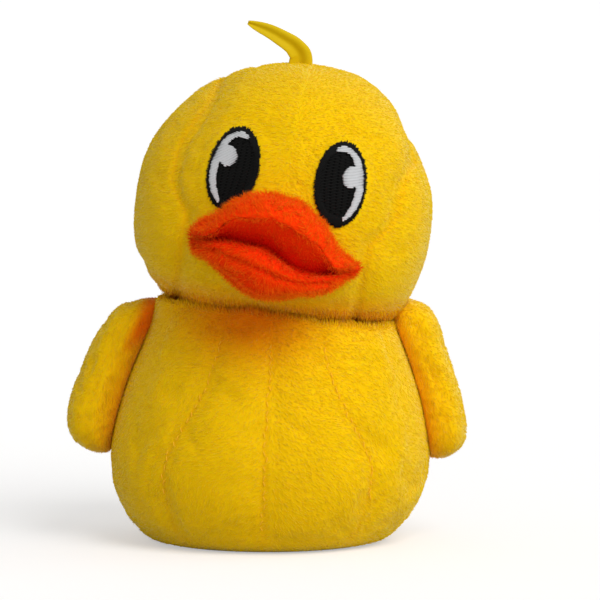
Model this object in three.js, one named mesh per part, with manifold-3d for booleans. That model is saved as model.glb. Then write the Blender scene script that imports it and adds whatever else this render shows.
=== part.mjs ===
// A stuffed plush duck that sits on a flat base and faces -Y, in millimetres with +Z up.
// The origin is the middle of the base. The head is tilted sideways on the neck, so the face and
// everything sewn to it are built in the head's own frame, whose origin is the middle of the head.

import * as THREE from "three";
import { mergeVertices } from "three/addons/utils/BufferGeometryUtils.js";
import Module from "manifold-3d";

const wasm = await Module();
wasm.setup();

const CLEARANCE = 0.3; // between neighbouring pieces

// Body: a pear-shaped bag of gores, flat underneath
const BASE_RADIUS = 28.5;
const BELLY_RADIUS = 46.3;
const BELLY_HEIGHT = 25;
const NECK_RADIUS = 32.5;
const NECK_HEIGHT = 68.5;
const COLLAR_HEIGHT = 8; // of the bag's top that the head presses down
const BODY_DEPTH_SHARE = 0.9; // front to back, against side to side
const NECK_SHIFT = 2; // sideways, at the neck
const TOE_FULLNESS = 1.7;
const CHEST_FULLNESS = 1.65;
const BODY_SEAM_ANGLES = [-96, -42, 0, 48, 96, 180]; // degrees round from the front
const BODY_SEAM_DEPTH = 1.7;
const BODY_SEAM_SPREAD = 5;

// Head: a wide bag, round above and fuller at the cheeks, with a face panel between two seams
const HEAD_HALF_WIDTH = 42.5;
const HEAD_HALF_DEPTH = 38;
const CROWN_HEIGHT = 43; // above the middle of the head
const CHIN_DROP = 34; // below it
const CROWN_FULLNESS = 2;
const CHEEK_FULLNESS = 2.75;
const CROWN_LEAN = 0.8; // of the top to the right
const HEAD_SEAT = 8; // of the chin below the neck
const HEAD_TILT = 10; // degrees, to the right seen from the front
const HEAD_TURN = -2.5; // degrees, the face to the left
const HEAD_SHIFT = 4.8; // sideways
const HEAD_FORWARD = 3;
const FACE_HALF_WIDTH = 32;
const SEAM_PAST_BILL = 0.5; // outside the corners of the bill
const SEAM_WIDE_HEIGHT = 6.4; // where they are furthest apart
const CROWN_SEAM_TAPER = 4.5;
const NAPE_SEAM_HALF_WIDTH = 8;
const SEAM_TWIST = 5; // of both seams to the right, near the crown
const HEAD_SEAM_DEPTH = 1.9;
const HEAD_SEAM_SPREAD = 3;

// Wings: flat stuffed paddles, pinched where they are sewn on
const WING_LENGTH = 44.5;
const WING_ROOT_RISE = 1.5; // above the neck
const WING_HALF_WIDTH = 14;
const WING_ROOT_WIDTH_SHARE = 0.72;
const WING_HALF_THICKNESS = 8;
const WING_ROOT_BLUNTNESS = 6;
const WING_TIP_BLUNTNESS = 4;
const WING_BACKWARD = 2;
const WING_TURN = 12; // degrees, front edge away from the body
const LEFT_WING_PRESS = 2.1; // into the body's soft side
const RIGHT_WING_PRESS = 5;

// Bill: two padded halves round an open mouth, measured from the face
const BILL_HALF_WIDTH = 25.5;
const LOWER_BILL_HALF_WIDTH = 23.5;
const BILL_CORNER_DROP = 10; // below the middle of the head
const UPPER_BILL_ARCH = 18.3; // corners to the top of its root
const UPPER_BILL_REACH = 19;
const UPPER_BILL_BULGE = 1.2;
const RIM_ARCH = 14.2; // corners to the seam along its rim
const LOWER_BILL_REACH = 17;
const LOWER_BILL_DROP = 11.5; // from the corners
const MOUTH_REACH = 9;
const MOUTH_SAG = 3.2; // of the lower lip, right of the middle
const MOUTH_SAG_SHIFT = 0.35;
const MOUTH_SAG_SPREAD = 0.65;
const CORNER_HALF_HEIGHT = 3.2;
const LINING_THICKNESS = 1;
const BILL_ROOT_DEPTH = 12; // behind the face, before the pieces are trimmed to it

// Eyes: raised satin stitch, with a crescent and a spot of white stitch on top
const EYE_SPACING = 29.4;
const EYE_RISE = 11.4; // above the middle of the head
const EYE_HALF_WIDTH = 7.4;
const EYE_HALF_HEIGHT = 11.9;
const EYE_LEAN = 5; // degrees, towards each other at the top
const RIGHT_EYE_LIFT = 1; // above the level of the left one
const STITCH_HEIGHT = 0.7;
const STITCH_EDGE_SHARE = 0.5; // of that height, at the rolled edge
const CRESCENT_RADIUS_SHARE = 0.77;
const CRESCENT_HALF_WIDTH_SHARE = 0.1;
const CRESCENT_POINT_SHARE = 0.35; // of that width, at its ends
const CRESCENT_START = 111; // degrees round from the outer side
const CRESCENT_END = -76;
const SPOT_RADIUS = 2.6;
const SPOT_OUT_SHARE = 0.33;
const SPOT_UP_SHARE = 0.21;

// Tuft: a folded strip of cloth sewn in at the crown, bent over to the left
const TUFT_HALF_WIDTH = 3;
const TUFT_TIP_HALF_WIDTH = 0.9;
const TUFT_THICKNESS = 1.8;
const TUFT_TIP_THICKNESS_SHARE = 0.6;
const TUFT_RISE = 8.7;
const TUFT_LEAN = 17;
const TUFT_ROOT_SHIFT = -2;
const TUFT_BEND = [[0.03, 0.25], [0.2, 0.54], [0.6, 0.84], [1, 1]]; // shares of the lean and the rise

const degrees = THREE.MathUtils.degToRad;
const lerp = THREE.MathUtils.lerp;
const smoothstep = THREE.MathUtils.smoothstep;

// One closed skin through a row of rings. An end ring of one point is a tip, and any other end is
// closed with a fan round its middle.
function loft(rings) {
  const first = rings[0];
  const last = rings[rings.length - 1];
  const rows = [...rings];
  if (first.length > 1) rows.unshift([middleOf(first)]);
  if (last.length > 1) rows.push([middleOf(last)]);
  const starts = [];
  const positions = [];
  for (const row of rows) {
    starts.push(positions.length / 3);
    for (const point of row) positions.push(point.x, point.y, point.z);
  }
  const faces = [];
  for (let i = 0; i < rows.length - 1; i += 1) {
    const count = Math.max(rows[i].length, rows[i + 1].length);
    for (let j = 0; j < count; j += 1) {
      const k = (j + 1) % count;
      const near = (n) => starts[i] + (rows[i].length === 1 ? 0 : n);
      const far = (n) => starts[i + 1] + (rows[i + 1].length === 1 ? 0 : n);
      if (rows[i].length > 1) faces.push(near(j), near(k), far(j));
      if (rows[i + 1].length > 1) faces.push(near(k), far(k), far(j));
    }
  }
  const geometry = new THREE.BufferGeometry();
  geometry.setAttribute("position", new THREE.Float32BufferAttribute(positions, 3));
  geometry.setIndex(faces);
  return facingOut(geometry);
}

function middleOf(ring) {
  const sum = new THREE.Vector3();
  for (const point of ring) sum.add(point);
  return sum.divideScalar(ring.length);
}

// Turns every face over if the closed skin encloses a negative volume
function facingOut(geometry) {
  const position = geometry.getAttribute("position");
  const faces = geometry.getIndex().array;
  const corner = (i) => new THREE.Vector3().fromBufferAttribute(position, faces[i]);
  let volume = 0;
  for (let i = 0; i < faces.length; i += 3) {
    volume += corner(i).dot(corner(i + 1).cross(corner(i + 2)));
  }
  if (volume < 0) {
    for (let i = 0; i < faces.length; i += 3) {
      [faces[i + 1], faces[i + 2]] = [faces[i + 2], faces[i + 1]];
    }
  }
  return geometry;
}

function solidOf(geometry) {
  const merged = mergeVertices(geometry);
  return new wasm.Manifold(new wasm.Mesh({
    numProp: 3,
    vertProperties: new Float32Array(merged.getAttribute("position").array),
    triVerts: new Uint32Array(merged.getIndex().array),
  }));
}

function geometryOf(solid) {
  const mesh = solid.getMesh();
  const geometry = new THREE.BufferGeometry();
  geometry.setAttribute("position", new THREE.BufferAttribute(mesh.vertProperties, 3));
  geometry.setIndex(new THREE.BufferAttribute(mesh.triVerts, 1));
  return geometry;
}

function cut(geometry, ...cutters) {
  let solid = solidOf(geometry);
  for (const cutter of cutters) solid = solid.subtract(solidOf(cutter));
  return geometryOf(solid);
}

// A piece and its copies moved by the clearance each way along each axis
function withClearance(geometry) {
  const copies = [geometry];
  for (const axis of [[1, 0, 0], [0, 1, 0], [0, 0, 1]]) {
    for (const side of [-CLEARANCE, CLEARANCE]) {
      const [x, y, z] = axis.map((share) => share * side);
      copies.push(geometry.clone().translate(x, y, z));
    }
  }
  return copies;
}

function join(one, other) {
  return geometryOf(solidOf(one).add(solidOf(other)));
}

function named(name, geometry, color, roughness) {
  const shaded = geometry.index ? geometry.toNonIndexed() : geometry;
  shaded.computeVertexNormals();
  const material = new THREE.MeshStandardMaterial({ color, roughness, metalness: 0 });
  const mesh = new THREE.Mesh(shaded, material);
  mesh.name = name;
  return mesh;
}

// The body's side-to-side radius at a height, full at the belly and drawn in at the neck
function bodyRadius(height) {
  if (height < BELLY_HEIGHT) {
    const fall = (BELLY_HEIGHT - Math.max(height, 0)) / BELLY_HEIGHT;
    const swell = (1 - fall ** TOE_FULLNESS) ** (1 / TOE_FULLNESS);
    return lerp(BASE_RADIUS, BELLY_RADIUS, swell);
  }
  const rise = (height - BELLY_HEIGHT) / (NECK_HEIGHT - BELLY_HEIGHT);
  return BELLY_RADIUS - (BELLY_RADIUS - NECK_RADIUS) * rise ** CHEST_FULLNESS;
}

function bodyMiddle(height) {
  return NECK_SHIFT * (height / NECK_HEIGHT);
}

// How far the sewing draws the skin in, at an angle round from the front and a radius
function bodySeamPull(angle, radius) {
  let pull = 0;
  for (const seam of BODY_SEAM_ANGLES) {
    const away = Math.abs(((angle - seam + 540) % 360) - 180);
    pull = Math.max(pull, Math.exp(-(degrees(away) * radius) / BODY_SEAM_SPREAD));
  }
  return BODY_SEAM_DEPTH * pull;
}

function bodyRing(height, columns, offset = 0) {
  const radius = bodyRadius(height) + offset;
  const ring = [];
  for (let j = 0; j < columns; j += 1) {
    const angle = (360 * j) / columns;
    const grip = smoothstep(height, 0, BELLY_HEIGHT / 2);
    const pulled = radius - bodySeamPull(angle, radius) * grip;
    ring.push(new THREE.Vector3(
      bodyMiddle(height) + pulled * Math.sin(degrees(angle)),
      -pulled * BODY_DEPTH_SHARE * Math.cos(degrees(angle)),
      height,
    ));
  }
  return ring;
}

function bodyBag(offset = 0) {
  const columns = 60;
  const toeRows = 7;
  const chestRows = 15;
  const collarTop = NECK_HEIGHT + COLLAR_HEIGHT;
  const rings = [];
  for (let i = 0; i < toeRows; i += 1) {
    rings.push(bodyRing(BELLY_HEIGHT * (1 - Math.cos((Math.PI / 2) * (i / toeRows))), columns, offset));
  }
  for (let i = 0; i <= chestRows; i += 1) {
    rings.push(bodyRing(lerp(BELLY_HEIGHT, collarTop, i / chestRows), columns, offset));
  }
  return loft(rings);
}

// The head's frame stands over the neck, with the chin pressed into the collar
const headMiddle = new THREE.Vector3(
  HEAD_SHIFT,
  -HEAD_FORWARD,
  NECK_HEIGHT - HEAD_SEAT + CHIN_DROP,
);
const head = new THREE.Group();
head.position.copy(headMiddle);
head.rotation.set(0, degrees(HEAD_TILT), degrees(HEAD_TURN));
head.updateMatrix();

function headFullness(x, z) {
  const height = z > 0 ? CROWN_HEIGHT : CHIN_DROP;
  const power = z > 0 ? CROWN_FULLNESS : CHEEK_FULLNESS;
  const lean = CROWN_LEAN * (Math.max(0, z) / CROWN_HEIGHT);
  const across = Math.abs((x - lean) / HEAD_HALF_WIDTH) ** power;
  const along = Math.abs(z / height) ** power;
  return (across + along) ** (2 / power);
}

// The front of the head, or with side = 1 its back, before the seams draw it in
function faceY(x, z, side = -1) {
  return side * HEAD_HALF_DEPTH * Math.sqrt(Math.max(0, 1 - headFullness(x, z)));
}

// Half the width between the two long seams: widest beside the eyes, drawn in at the corners of
// the bill, and narrowing down the back of the head to the nape
function seamHalfWidth(z, atFront) {
  const top = FACE_HALF_WIDTH - CROWN_SEAM_TAPER;
  if (!atFront) return lerp(NAPE_SEAM_HALF_WIDTH, top, smoothstep(z, -CHIN_DROP, CROWN_HEIGHT));
  const corner = BILL_HALF_WIDTH + SEAM_PAST_BILL;
  const taper = CROWN_SEAM_TAPER * (Math.max(0, z - EYE_RISE) / (CROWN_HEIGHT - EYE_RISE)) ** 2;
  return lerp(corner, FACE_HALF_WIDTH, smoothstep(z, -BILL_CORNER_DROP / 2, SEAM_WIDE_HEIGHT)) - taper;
}

function headSeamPull(x, y, z) {
  const twist = SEAM_TWIST * smoothstep(z, EYE_RISE, CROWN_HEIGHT - EYE_RISE);
  const away = Math.abs(Math.abs(x - twist) - seamHalfWidth(z, y < 0));
  return HEAD_SEAM_DEPTH * Math.exp(-away / HEAD_SEAM_SPREAD);
}

// A point of the head's skin in a direction from its middle, moved out by an offset
function headPoint(direction, offset = 0) {
  const { x, y, z } = direction;
  const radius = 1 / Math.sqrt(headFullness(x, z) + (y / HEAD_HALF_DEPTH) ** 2);
  const pull = headSeamPull(x * radius, y, z * radius);
  return direction.clone().multiplyScalar(radius - pull + offset);
}

function headBag(offset = 0) {
  const columns = 56;
  const rows = 27;
  const rings = [];
  for (let i = 0; i <= rows; i += 1) {
    const fall = Math.PI * (i / rows);
    const ring = [];
    for (let j = 0; j < (i % rows === 0 ? 1 : columns); j += 1) {
      const turn = 2 * Math.PI * (j / columns);
      const direction = new THREE.Vector3().setFromSphericalCoords(1, fall, turn);
      ring.push(headPoint(new THREE.Vector3(direction.x, -direction.z, direction.y), offset));
    }
    rings.push(ring);
  }
  return loft(rings);
}

// A point on the face at x and z of the head's frame, moved out by an offset
function facePoint(x, z, offset) {
  const direction = new THREE.Vector3(x, faceY(x, z), z).normalize();
  return headPoint(direction, offset);
}

// The cross-sections of a bill piece follow each other from corner to corner. Near the corners
// they shrink to a blunt round end.
function billPiece(section, halfWidth) {
  const stations = 20;
  const rings = [];
  for (let i = 0; i <= stations; i += 1) {
    const share = Math.sin((Math.PI / 2) * (-1 + (2 * i) / stations));
    const roundness = Math.sqrt(Math.max(0, 1 - share ** 8));
    const x = share * halfWidth;
    const points = section(x).map(([y, z]) => new THREE.Vector3(x, y, z));
    const middle = middleOf(points);
    if (i % stations === 0) rings.push([middle]);
    else rings.push(points.map((point) => point.lerp(middle, 1 - roundness)));
  }
  return loft(rings);
}

// A smooth closed outline through a few [y, z] corners, kept between two heights
function rounded(points, lowest, highest) {
  const count = 18;
  const corners = points.map(([y, z]) => new THREE.Vector3(0, y, z));
  const curve = new THREE.CatmullRomCurve3(corners, true, "centripetal");
  const outline = curve.getSpacedPoints(count).slice(0, count);
  return outline.map((point) => [point.y, THREE.MathUtils.clamp(point.z, lowest, highest)]);
}

// Named places on the bill's cross-section at x: y runs back from the rim to the face
function billPlaces(x) {
  const share = x / BILL_HALF_WIDTH;
  const span = Math.max(0, 1 - share ** 2);
  const reach = span ** 0.5;
  const face = faceY(x, -BILL_CORNER_DROP);
  const sag = Math.max(0, 1 - ((share - MOUTH_SAG_SHIFT) / MOUTH_SAG_SPREAD) ** 2);
  const mouth = -BILL_CORNER_DROP - MOUTH_SAG * sag;
  return {
    face,
    reach,
    mouth,
    top: -BILL_CORNER_DROP + lerp(CORNER_HALF_HEIGHT, UPPER_BILL_ARCH, span),
    rim: -BILL_CORNER_DROP + lerp(CORNER_HALF_HEIGHT / 2, RIM_ARCH, span ** 0.85),
    bottom: -BILL_CORNER_DROP - lerp(CORNER_HALF_HEIGHT, LOWER_BILL_DROP, span ** 0.5),
    inside: face + BILL_ROOT_DEPTH,
    upperRimY: face - UPPER_BILL_REACH * reach,
    mouthY: face - MOUTH_REACH * reach,
    lowerRimY: face - LOWER_BILL_REACH * reach,
  };
}

function upperBillSection(x) {
  const at = billPlaces(x);
  return rounded([
    [at.inside, at.top],
    [at.face, at.top],
    [lerp(at.face, at.upperRimY, 0.6), lerp(at.top, at.rim, 0.35) + UPPER_BILL_BULGE * at.reach],
    [at.upperRimY, at.rim],
    [lerp(at.upperRimY, at.mouthY, 0.15), lerp(at.rim, at.mouth, 0.3) + LINING_THICKNESS],
    [at.mouthY, at.mouth + LINING_THICKNESS],
    [at.inside, at.mouth + LINING_THICKNESS],
  ], at.mouth + CLEARANCE / 2, Infinity);
}

function lowerBillSection(x) {
  const at = billPlaces(x);
  return rounded([
    [at.inside, at.mouth],
    [at.mouthY, at.mouth],
    [lerp(at.mouthY, at.lowerRimY, 0.8), lerp(at.mouth, at.bottom, 0.12)],
    [at.lowerRimY, lerp(at.mouth, at.bottom, 0.45)],
    [lerp(at.face, at.lowerRimY, 0.75), lerp(at.mouth, at.bottom, 0.9)],
    [lerp(at.face, at.lowerRimY, 0.25), at.bottom],
    [at.inside, at.bottom],
  ], -Infinity, at.mouth - CLEARANCE / 2);
}

// A thin cloth that lines the underside of the upper bill and ends between the two halves
function liningSection(x) {
  const at = billPlaces(x);
  const palate = [
    [lerp(at.upperRimY, at.mouthY, 0.12), lerp(at.rim, at.mouth, 0.42)],
    [lerp(at.upperRimY, at.mouthY, 0.55), lerp(at.rim, at.mouth, 0.75)],
    [at.mouthY, at.mouth],
    [at.inside, at.mouth],
  ];
  const upper = palate.map(([y, z]) => [y, z + LINING_THICKNESS]);
  return [...palate, ...upper.reverse()];
}

// Satin stitch stands off the face by a gap, with its edge rolled down to the cloth
function stitchSpot(x, z, halfWidth, halfHeight, lean, lift, height = STITCH_HEIGHT) {
  const columns = 24;
  const shares = [0, 0.4, 0.75, 0.93, 1];
  const place = (share, angle, offset) => {
    const across = halfWidth * share * Math.cos(angle);
    const along = halfHeight * share * Math.sin(angle);
    return facePoint(
      x + across * Math.cos(lean) + along * Math.sin(lean),
      z - across * Math.sin(lean) + along * Math.cos(lean),
      offset,
    );
  };
  const ringAt = (share, offset) => {
    const count = share === 0 ? 1 : columns;
    return Array.from({ length: count }, (_, j) => place(share, (2 * Math.PI * j) / columns, offset));
  };
  const top = shares.map((share) => ringAt(share, lift + height * lerp(1, STITCH_EDGE_SHARE, share ** 8)));
  const bottom = shares.map((share) => ringAt(share, lift)).reverse();
  return loft([...top, ...bottom]);
}

function stitchCrescent(x, z, side, lean, lift) {
  const steps = 22;
  const rings = [];
  for (let i = 0; i <= steps; i += 1) {
    const share = i / steps;
    const angle = degrees(lerp(CRESCENT_START, CRESCENT_END, share));
    const swell = lerp(CRESCENT_POINT_SHARE, 1, Math.sin(Math.PI * share ** 0.8));
    const halfWidth = CRESCENT_HALF_WIDTH_SHARE * swell;
    const place = (radiusShare, offset) => {
      const across = side * EYE_HALF_WIDTH * radiusShare * Math.cos(angle);
      const along = EYE_HALF_HEIGHT * radiusShare * Math.sin(angle);
      return facePoint(
        x + across * Math.cos(lean) + along * Math.sin(lean),
        z - across * Math.sin(lean) + along * Math.cos(lean),
        offset,
      );
    };
    const inner = CRESCENT_RADIUS_SHARE - halfWidth;
    const outer = CRESCENT_RADIUS_SHARE + halfWidth;
    const top = lift + STITCH_HEIGHT;
    rings.push([
      place(inner, top),
      place(CRESCENT_RADIUS_SHARE, top),
      place(outer, top),
      place(outer, lift),
      place(CRESCENT_RADIUS_SHARE, lift),
      place(inner, lift),
    ]);
  }
  return loft(rings);
}

// side is -1 for the left eye of the picture and 1 for the right one. The room reaches from under
// the face's skin to past the white stitch.
function eye(side) {
  const x = side * (EYE_SPACING / 2);
  const z = side > 0 ? EYE_RISE + RIGHT_EYE_LIFT : EYE_RISE;
  const lean = degrees(-side * EYE_LEAN);
  const dark = stitchSpot(x, z, EYE_HALF_WIDTH, EYE_HALF_HEIGHT, lean, CLEARANCE);
  const lift = 2 * CLEARANCE + STITCH_HEIGHT;
  const room = stitchSpot(
    x,
    z,
    EYE_HALF_WIDTH + CLEARANCE,
    EYE_HALF_HEIGHT + CLEARANCE,
    lean,
    -CLEARANCE,
    2 * lift,
  );
  const crescent = stitchCrescent(x, z, side, lean, lift);
  const across = side * SPOT_OUT_SHARE * EYE_HALF_WIDTH;
  const along = SPOT_UP_SHARE * EYE_HALF_HEIGHT;
  const spot = stitchSpot(
    x + across * Math.cos(lean) + along * Math.sin(lean),
    z - across * Math.sin(lean) + along * Math.cos(lean),
    SPOT_RADIUS,
    SPOT_RADIUS,
    lean,
    lift,
  );
  return { dark, light: join(crescent, spot), room };
}

// The tuft's middle line rises from the crown, bends sharply and runs out flat
function tuftStrip() {
  const steps = 16;
  const points = 8;
  const root = CROWN_HEIGHT - HEAD_SEAM_DEPTH;
  const bend = TUFT_BEND.map(([lean, rise]) => new THREE.Vector3(
    TUFT_ROOT_SHIFT - lean * TUFT_LEAN,
    -lean * TUFT_THICKNESS,
    CROWN_HEIGHT + rise * TUFT_RISE,
  ));
  const line = new THREE.CatmullRomCurve3([new THREE.Vector3(TUFT_ROOT_SHIFT, 0, root), ...bend]);
  const rings = [];
  for (let i = 0; i <= steps; i += 1) {
    const share = i / steps;
    const middle = line.getPointAt(share);
    const tangent = line.getTangentAt(share);
    const across = new THREE.Vector3(-tangent.z, 0, tangent.x).normalize();
    const halfWidth = lerp(TUFT_HALF_WIDTH, TUFT_TIP_HALF_WIDTH, share ** 1.3);
    const halfThickness = (TUFT_THICKNESS / 2) * lerp(1, TUFT_TIP_THICKNESS_SHARE, share);
    const ring = [];
    for (let j = 0; j < points; j += 1) {
      const turn = (2 * Math.PI * j) / points;
      const point = middle.clone().addScaledVector(across, halfWidth * Math.cos(turn));
      point.y += halfThickness * Math.sin(turn);
      ring.push(point);
    }
    rings.push(ring);
  }
  return loft(rings);
}

// A wing hangs from the neck and lies along the body's side, with blunt round ends
function wingPad(side, press) {
  const steps = 18;
  const points = 24;
  const turned = degrees(WING_TURN);
  const rings = [];
  for (let i = 0; i <= steps; i += 1) {
    const share = (1 - Math.cos(Math.PI * (i / steps))) / 2;
    const height = NECK_HEIGHT + WING_ROOT_RISE - WING_LENGTH * share;
    const bluntness = share < 0.5 ? WING_ROOT_BLUNTNESS : WING_TIP_BLUNTNESS;
    const ends = Math.max(0, 1 - Math.abs(2 * share - 1) ** bluntness) ** 0.5;
    const halfThickness = WING_HALF_THICKNESS * ends;
    const halfWidth = WING_HALF_WIDTH * ends * lerp(WING_ROOT_WIDTH_SHARE, 1, share);
    const away = CLEARANCE + halfThickness - press * ends;
    const x = bodyMiddle(height) + side * (bodyRadius(height) + away);
    const ring = [];
    for (let j = 0; j < (i % steps === 0 ? 1 : points); j += 1) {
      const turn = (2 * Math.PI * j) / points;
      const across = halfThickness * Math.cos(turn);
      const along = halfWidth * Math.sin(turn);
      ring.push(new THREE.Vector3(
        x + across * Math.cos(turned) - side * along * Math.sin(turned),
        WING_BACKWARD + along * Math.cos(turned) + side * across * Math.sin(turned),
        height,
      ));
    }
    rings.push(ring);
  }
  return loft(rings);
}

const YELLOW = new THREE.Color(0.9, 0.68, 0.05);
const ORANGE = new THREE.Color(0.93, 0.22, 0.02);
const RED = new THREE.Color(0.72, 0.05, 0.01);
const BLACK = new THREE.Color(0.01, 0.01, 0.01);
const WHITE = new THREE.Color(0.75, 0.75, 0.77);
const SATIN = new THREE.Color(0.66, 0.52, 0.02);

const headCutter = headBag(CLEARANCE);
const headCutterOnNeck = headCutter.clone().applyMatrix4(head.matrix);
const bodyCutter = bodyBag(CLEARANCE);
const lining = billPiece(liningSection, BILL_HALF_WIDTH - CORNER_HALF_HEIGHT);
const leftEye = eye(-1);
const rightEye = eye(1);
const billRoom = [headCutter, leftEye.room, rightEye.room, ...withClearance(lining)];
const upperBill = billPiece(upperBillSection, BILL_HALF_WIDTH);
const lowerBill = billPiece(lowerBillSection, LOWER_BILL_HALF_WIDTH);

head.add(named("head", headBag(), YELLOW, 0.9));
head.add(named("upper_bill", cut(upperBill, ...billRoom), ORANGE, 0.9));
head.add(named("lower_bill", cut(lowerBill, ...billRoom), ORANGE, 0.9));
head.add(named("mouth_lining", cut(lining, headCutter), RED, 0.85));
head.add(named("tuft", cut(tuftStrip(), headCutter), SATIN, 0.5));
for (const [name, stitched] of [["left_eye", leftEye], ["right_eye", rightEye]]) {
  head.add(named(name, stitched.dark, BLACK, 0.45));
  head.add(named(`${name}_highlight`, stitched.light, WHITE, 0.45));
}

const duck = new THREE.Group();
duck.add(named("body", cut(bodyBag(), headCutterOnNeck), YELLOW, 0.9));
duck.add(head);
for (const [name, side, press] of [
  ["left_wing", -1, LEFT_WING_PRESS],
  ["right_wing", 1, RIGHT_WING_PRESS],
]) {
  const pad = cut(wingPad(side, press), bodyCutter, headCutterOnNeck);
  duck.add(named(name, pad, YELLOW, 0.9));
}

export default duck;
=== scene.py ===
import math

import bmesh
import bpy
import numpy as np
from mathutils import Matrix, Vector


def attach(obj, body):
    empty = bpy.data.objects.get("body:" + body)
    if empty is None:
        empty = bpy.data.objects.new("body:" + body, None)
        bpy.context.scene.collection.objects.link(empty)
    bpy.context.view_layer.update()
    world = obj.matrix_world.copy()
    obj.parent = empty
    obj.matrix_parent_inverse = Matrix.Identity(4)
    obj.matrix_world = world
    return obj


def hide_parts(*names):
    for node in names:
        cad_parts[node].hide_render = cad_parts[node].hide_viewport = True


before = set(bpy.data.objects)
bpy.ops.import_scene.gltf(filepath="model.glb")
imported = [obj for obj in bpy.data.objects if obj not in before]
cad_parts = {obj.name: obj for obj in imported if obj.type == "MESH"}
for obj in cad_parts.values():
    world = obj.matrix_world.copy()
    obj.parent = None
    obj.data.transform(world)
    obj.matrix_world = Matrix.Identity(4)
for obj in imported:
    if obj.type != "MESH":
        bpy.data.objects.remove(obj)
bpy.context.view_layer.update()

# Camera: a long lens a little above the duck's middle, looking straight at its front. The picture
# is 172 mm wide where the duck sits.
AIM = Vector((0.0092, 0, 0.0693))
CAMERA_DISTANCE = 1.4
CAMERA_ELEVATION = math.radians(5)
PICTURE_WIDTH = 0.1719
camera_data = bpy.data.cameras.new("camera")
camera_data.sensor_width = 36
camera_data.lens = camera_data.sensor_width * CAMERA_DISTANCE / PICTURE_WIDTH
camera = bpy.data.objects.new("camera", camera_data)
camera.location = AIM + CAMERA_DISTANCE * Vector((0, -math.cos(CAMERA_ELEVATION), math.sin(CAMERA_ELEVATION)))
camera.rotation_euler = (math.pi / 2 - CAMERA_ELEVATION, 0, 0)
bpy.context.scene.collection.objects.link(camera)
bpy.context.scene.camera = camera
bpy.context.scene.view_settings.view_transform = "Standard"

# Light: a broad soft light from high on the right in front of the duck, a weaker one from straight
# in front and one from the right side, in a pale room. The camera sees the room as plain white.
LIGHTS = {  # where each light comes from, how many degrees wide it is, and its strength
    "key light": ((0.55, -0.8, 0.85), 40, 1.92),
    "fill light": ((-0.05, -1.0, 0.0), 60, 0.55),
    "side light": ((1.0, 0.1, 0.4), 50, 0.5),
}
ROOM_STRENGTH = 0.36
WHITE = (1, 1, 1, 1)
for name, (towards, width, strength) in LIGHTS.items():
    lamp_data = bpy.data.lights.new(name, "SUN")
    lamp_data.angle = math.radians(width)
    lamp_data.energy = strength
    lamp = bpy.data.objects.new(name, lamp_data)
    lamp.location = AIM + Vector(towards)
    lamp.rotation_euler = Vector(towards).to_track_quat("Z", "Y").to_euler()
    bpy.context.scene.collection.objects.link(lamp)


def node_in(tree, kind, values=(), operation=None, data_type=None):
    """A new node, what it works out, and the values of its sockets"""
    node = tree.nodes.new(kind)
    if operation:
        node.operation = operation
    if data_type:
        node.data_type = data_type
    for socket, value in dict(values).items():
        node.inputs[socket].default_value = value
    return node


def wire(tree, *wires):
    """Joins nodes: each wire is a node and its output, then another node and its input"""
    for one, output, other, socket in wires:
        tree.links.new(one.outputs[output], other.inputs[socket])


room = bpy.data.worlds.new("pale room")
room.use_nodes = True
room_tree = room.node_tree
room_tree.nodes.clear()
seen = node_in(room_tree, "ShaderNodeLightPath")
seen_or_glossy = node_in(room_tree, "ShaderNodeMath", operation="MAXIMUM")
seen_through = node_in(room_tree, "ShaderNodeMath", operation="MAXIMUM")
lit_room = node_in(room_tree, "ShaderNodeBackground", {"Color": WHITE, "Strength": ROOM_STRENGTH})
white_room = node_in(room_tree, "ShaderNodeBackground", {"Color": WHITE, "Strength": 1})
either_room = node_in(room_tree, "ShaderNodeMixShader")
wire(
    room_tree,
    (seen, "Is Camera Ray", seen_or_glossy, 0), (seen, "Is Glossy Ray", seen_or_glossy, 1),
    (seen_or_glossy, 0, seen_through, 0), (seen, "Is Transmission Ray", seen_through, 1),
    (seen_through, 0, either_room, "Fac"), (lit_room, 0, either_room, 1), (white_room, 0, either_room, 2),
    (either_room, 0, node_in(room_tree, "ShaderNodeOutputWorld"), "Surface"),
)
bpy.context.scene.world = room

# Floor: a plain pale table top that the duck's shadow falls on. It has a little light of its own,
# which only the camera sees, so that it fades into the white room.
FLOOR_SIDE = 40.0
FLOOR_COLOUR = (0.62, 0.615, 0.61, 1)
FLOOR_LIFT = 0.45
floor_mesh = bmesh.new()
bmesh.ops.create_grid(floor_mesh, x_segments=1, y_segments=1, size=FLOOR_SIDE / 2)
floor_data = bpy.data.meshes.new("floor")
floor_mesh.to_mesh(floor_data)
floor_mesh.free()
floor = bpy.data.objects.new("floor", floor_data)
bpy.context.scene.collection.objects.link(floor)
floor_paint = bpy.data.materials.new("floor paint")
floor_paint.use_nodes = True
floor_tree = floor_paint.node_tree
floor_shader = floor_tree.nodes["Principled BSDF"]
floor_shader.inputs["Base Color"].default_value = FLOOR_COLOUR
floor_shader.inputs["Roughness"].default_value = 0.9
floor_seen = node_in(floor_tree, "ShaderNodeLightPath")
floor_lift = node_in(floor_tree, "ShaderNodeEmission", {"Strength": FLOOR_LIFT})
floor_dark = node_in(floor_tree, "ShaderNodeEmission", {"Strength": 0})
floor_either = node_in(floor_tree, "ShaderNodeMixShader")
floor_both = node_in(floor_tree, "ShaderNodeAddShader")
wire(
    floor_tree,
    (floor_seen, "Is Camera Ray", floor_either, "Fac"), (floor_dark, 0, floor_either, 1),
    (floor_lift, 0, floor_either, 2), (floor_shader, 0, floor_both, 0), (floor_either, 0, floor_both, 1),
    (floor_both, 0, floor_tree.nodes["Material Output"], "Surface"),
)
floor_data.materials.append(floor_paint)

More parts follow.
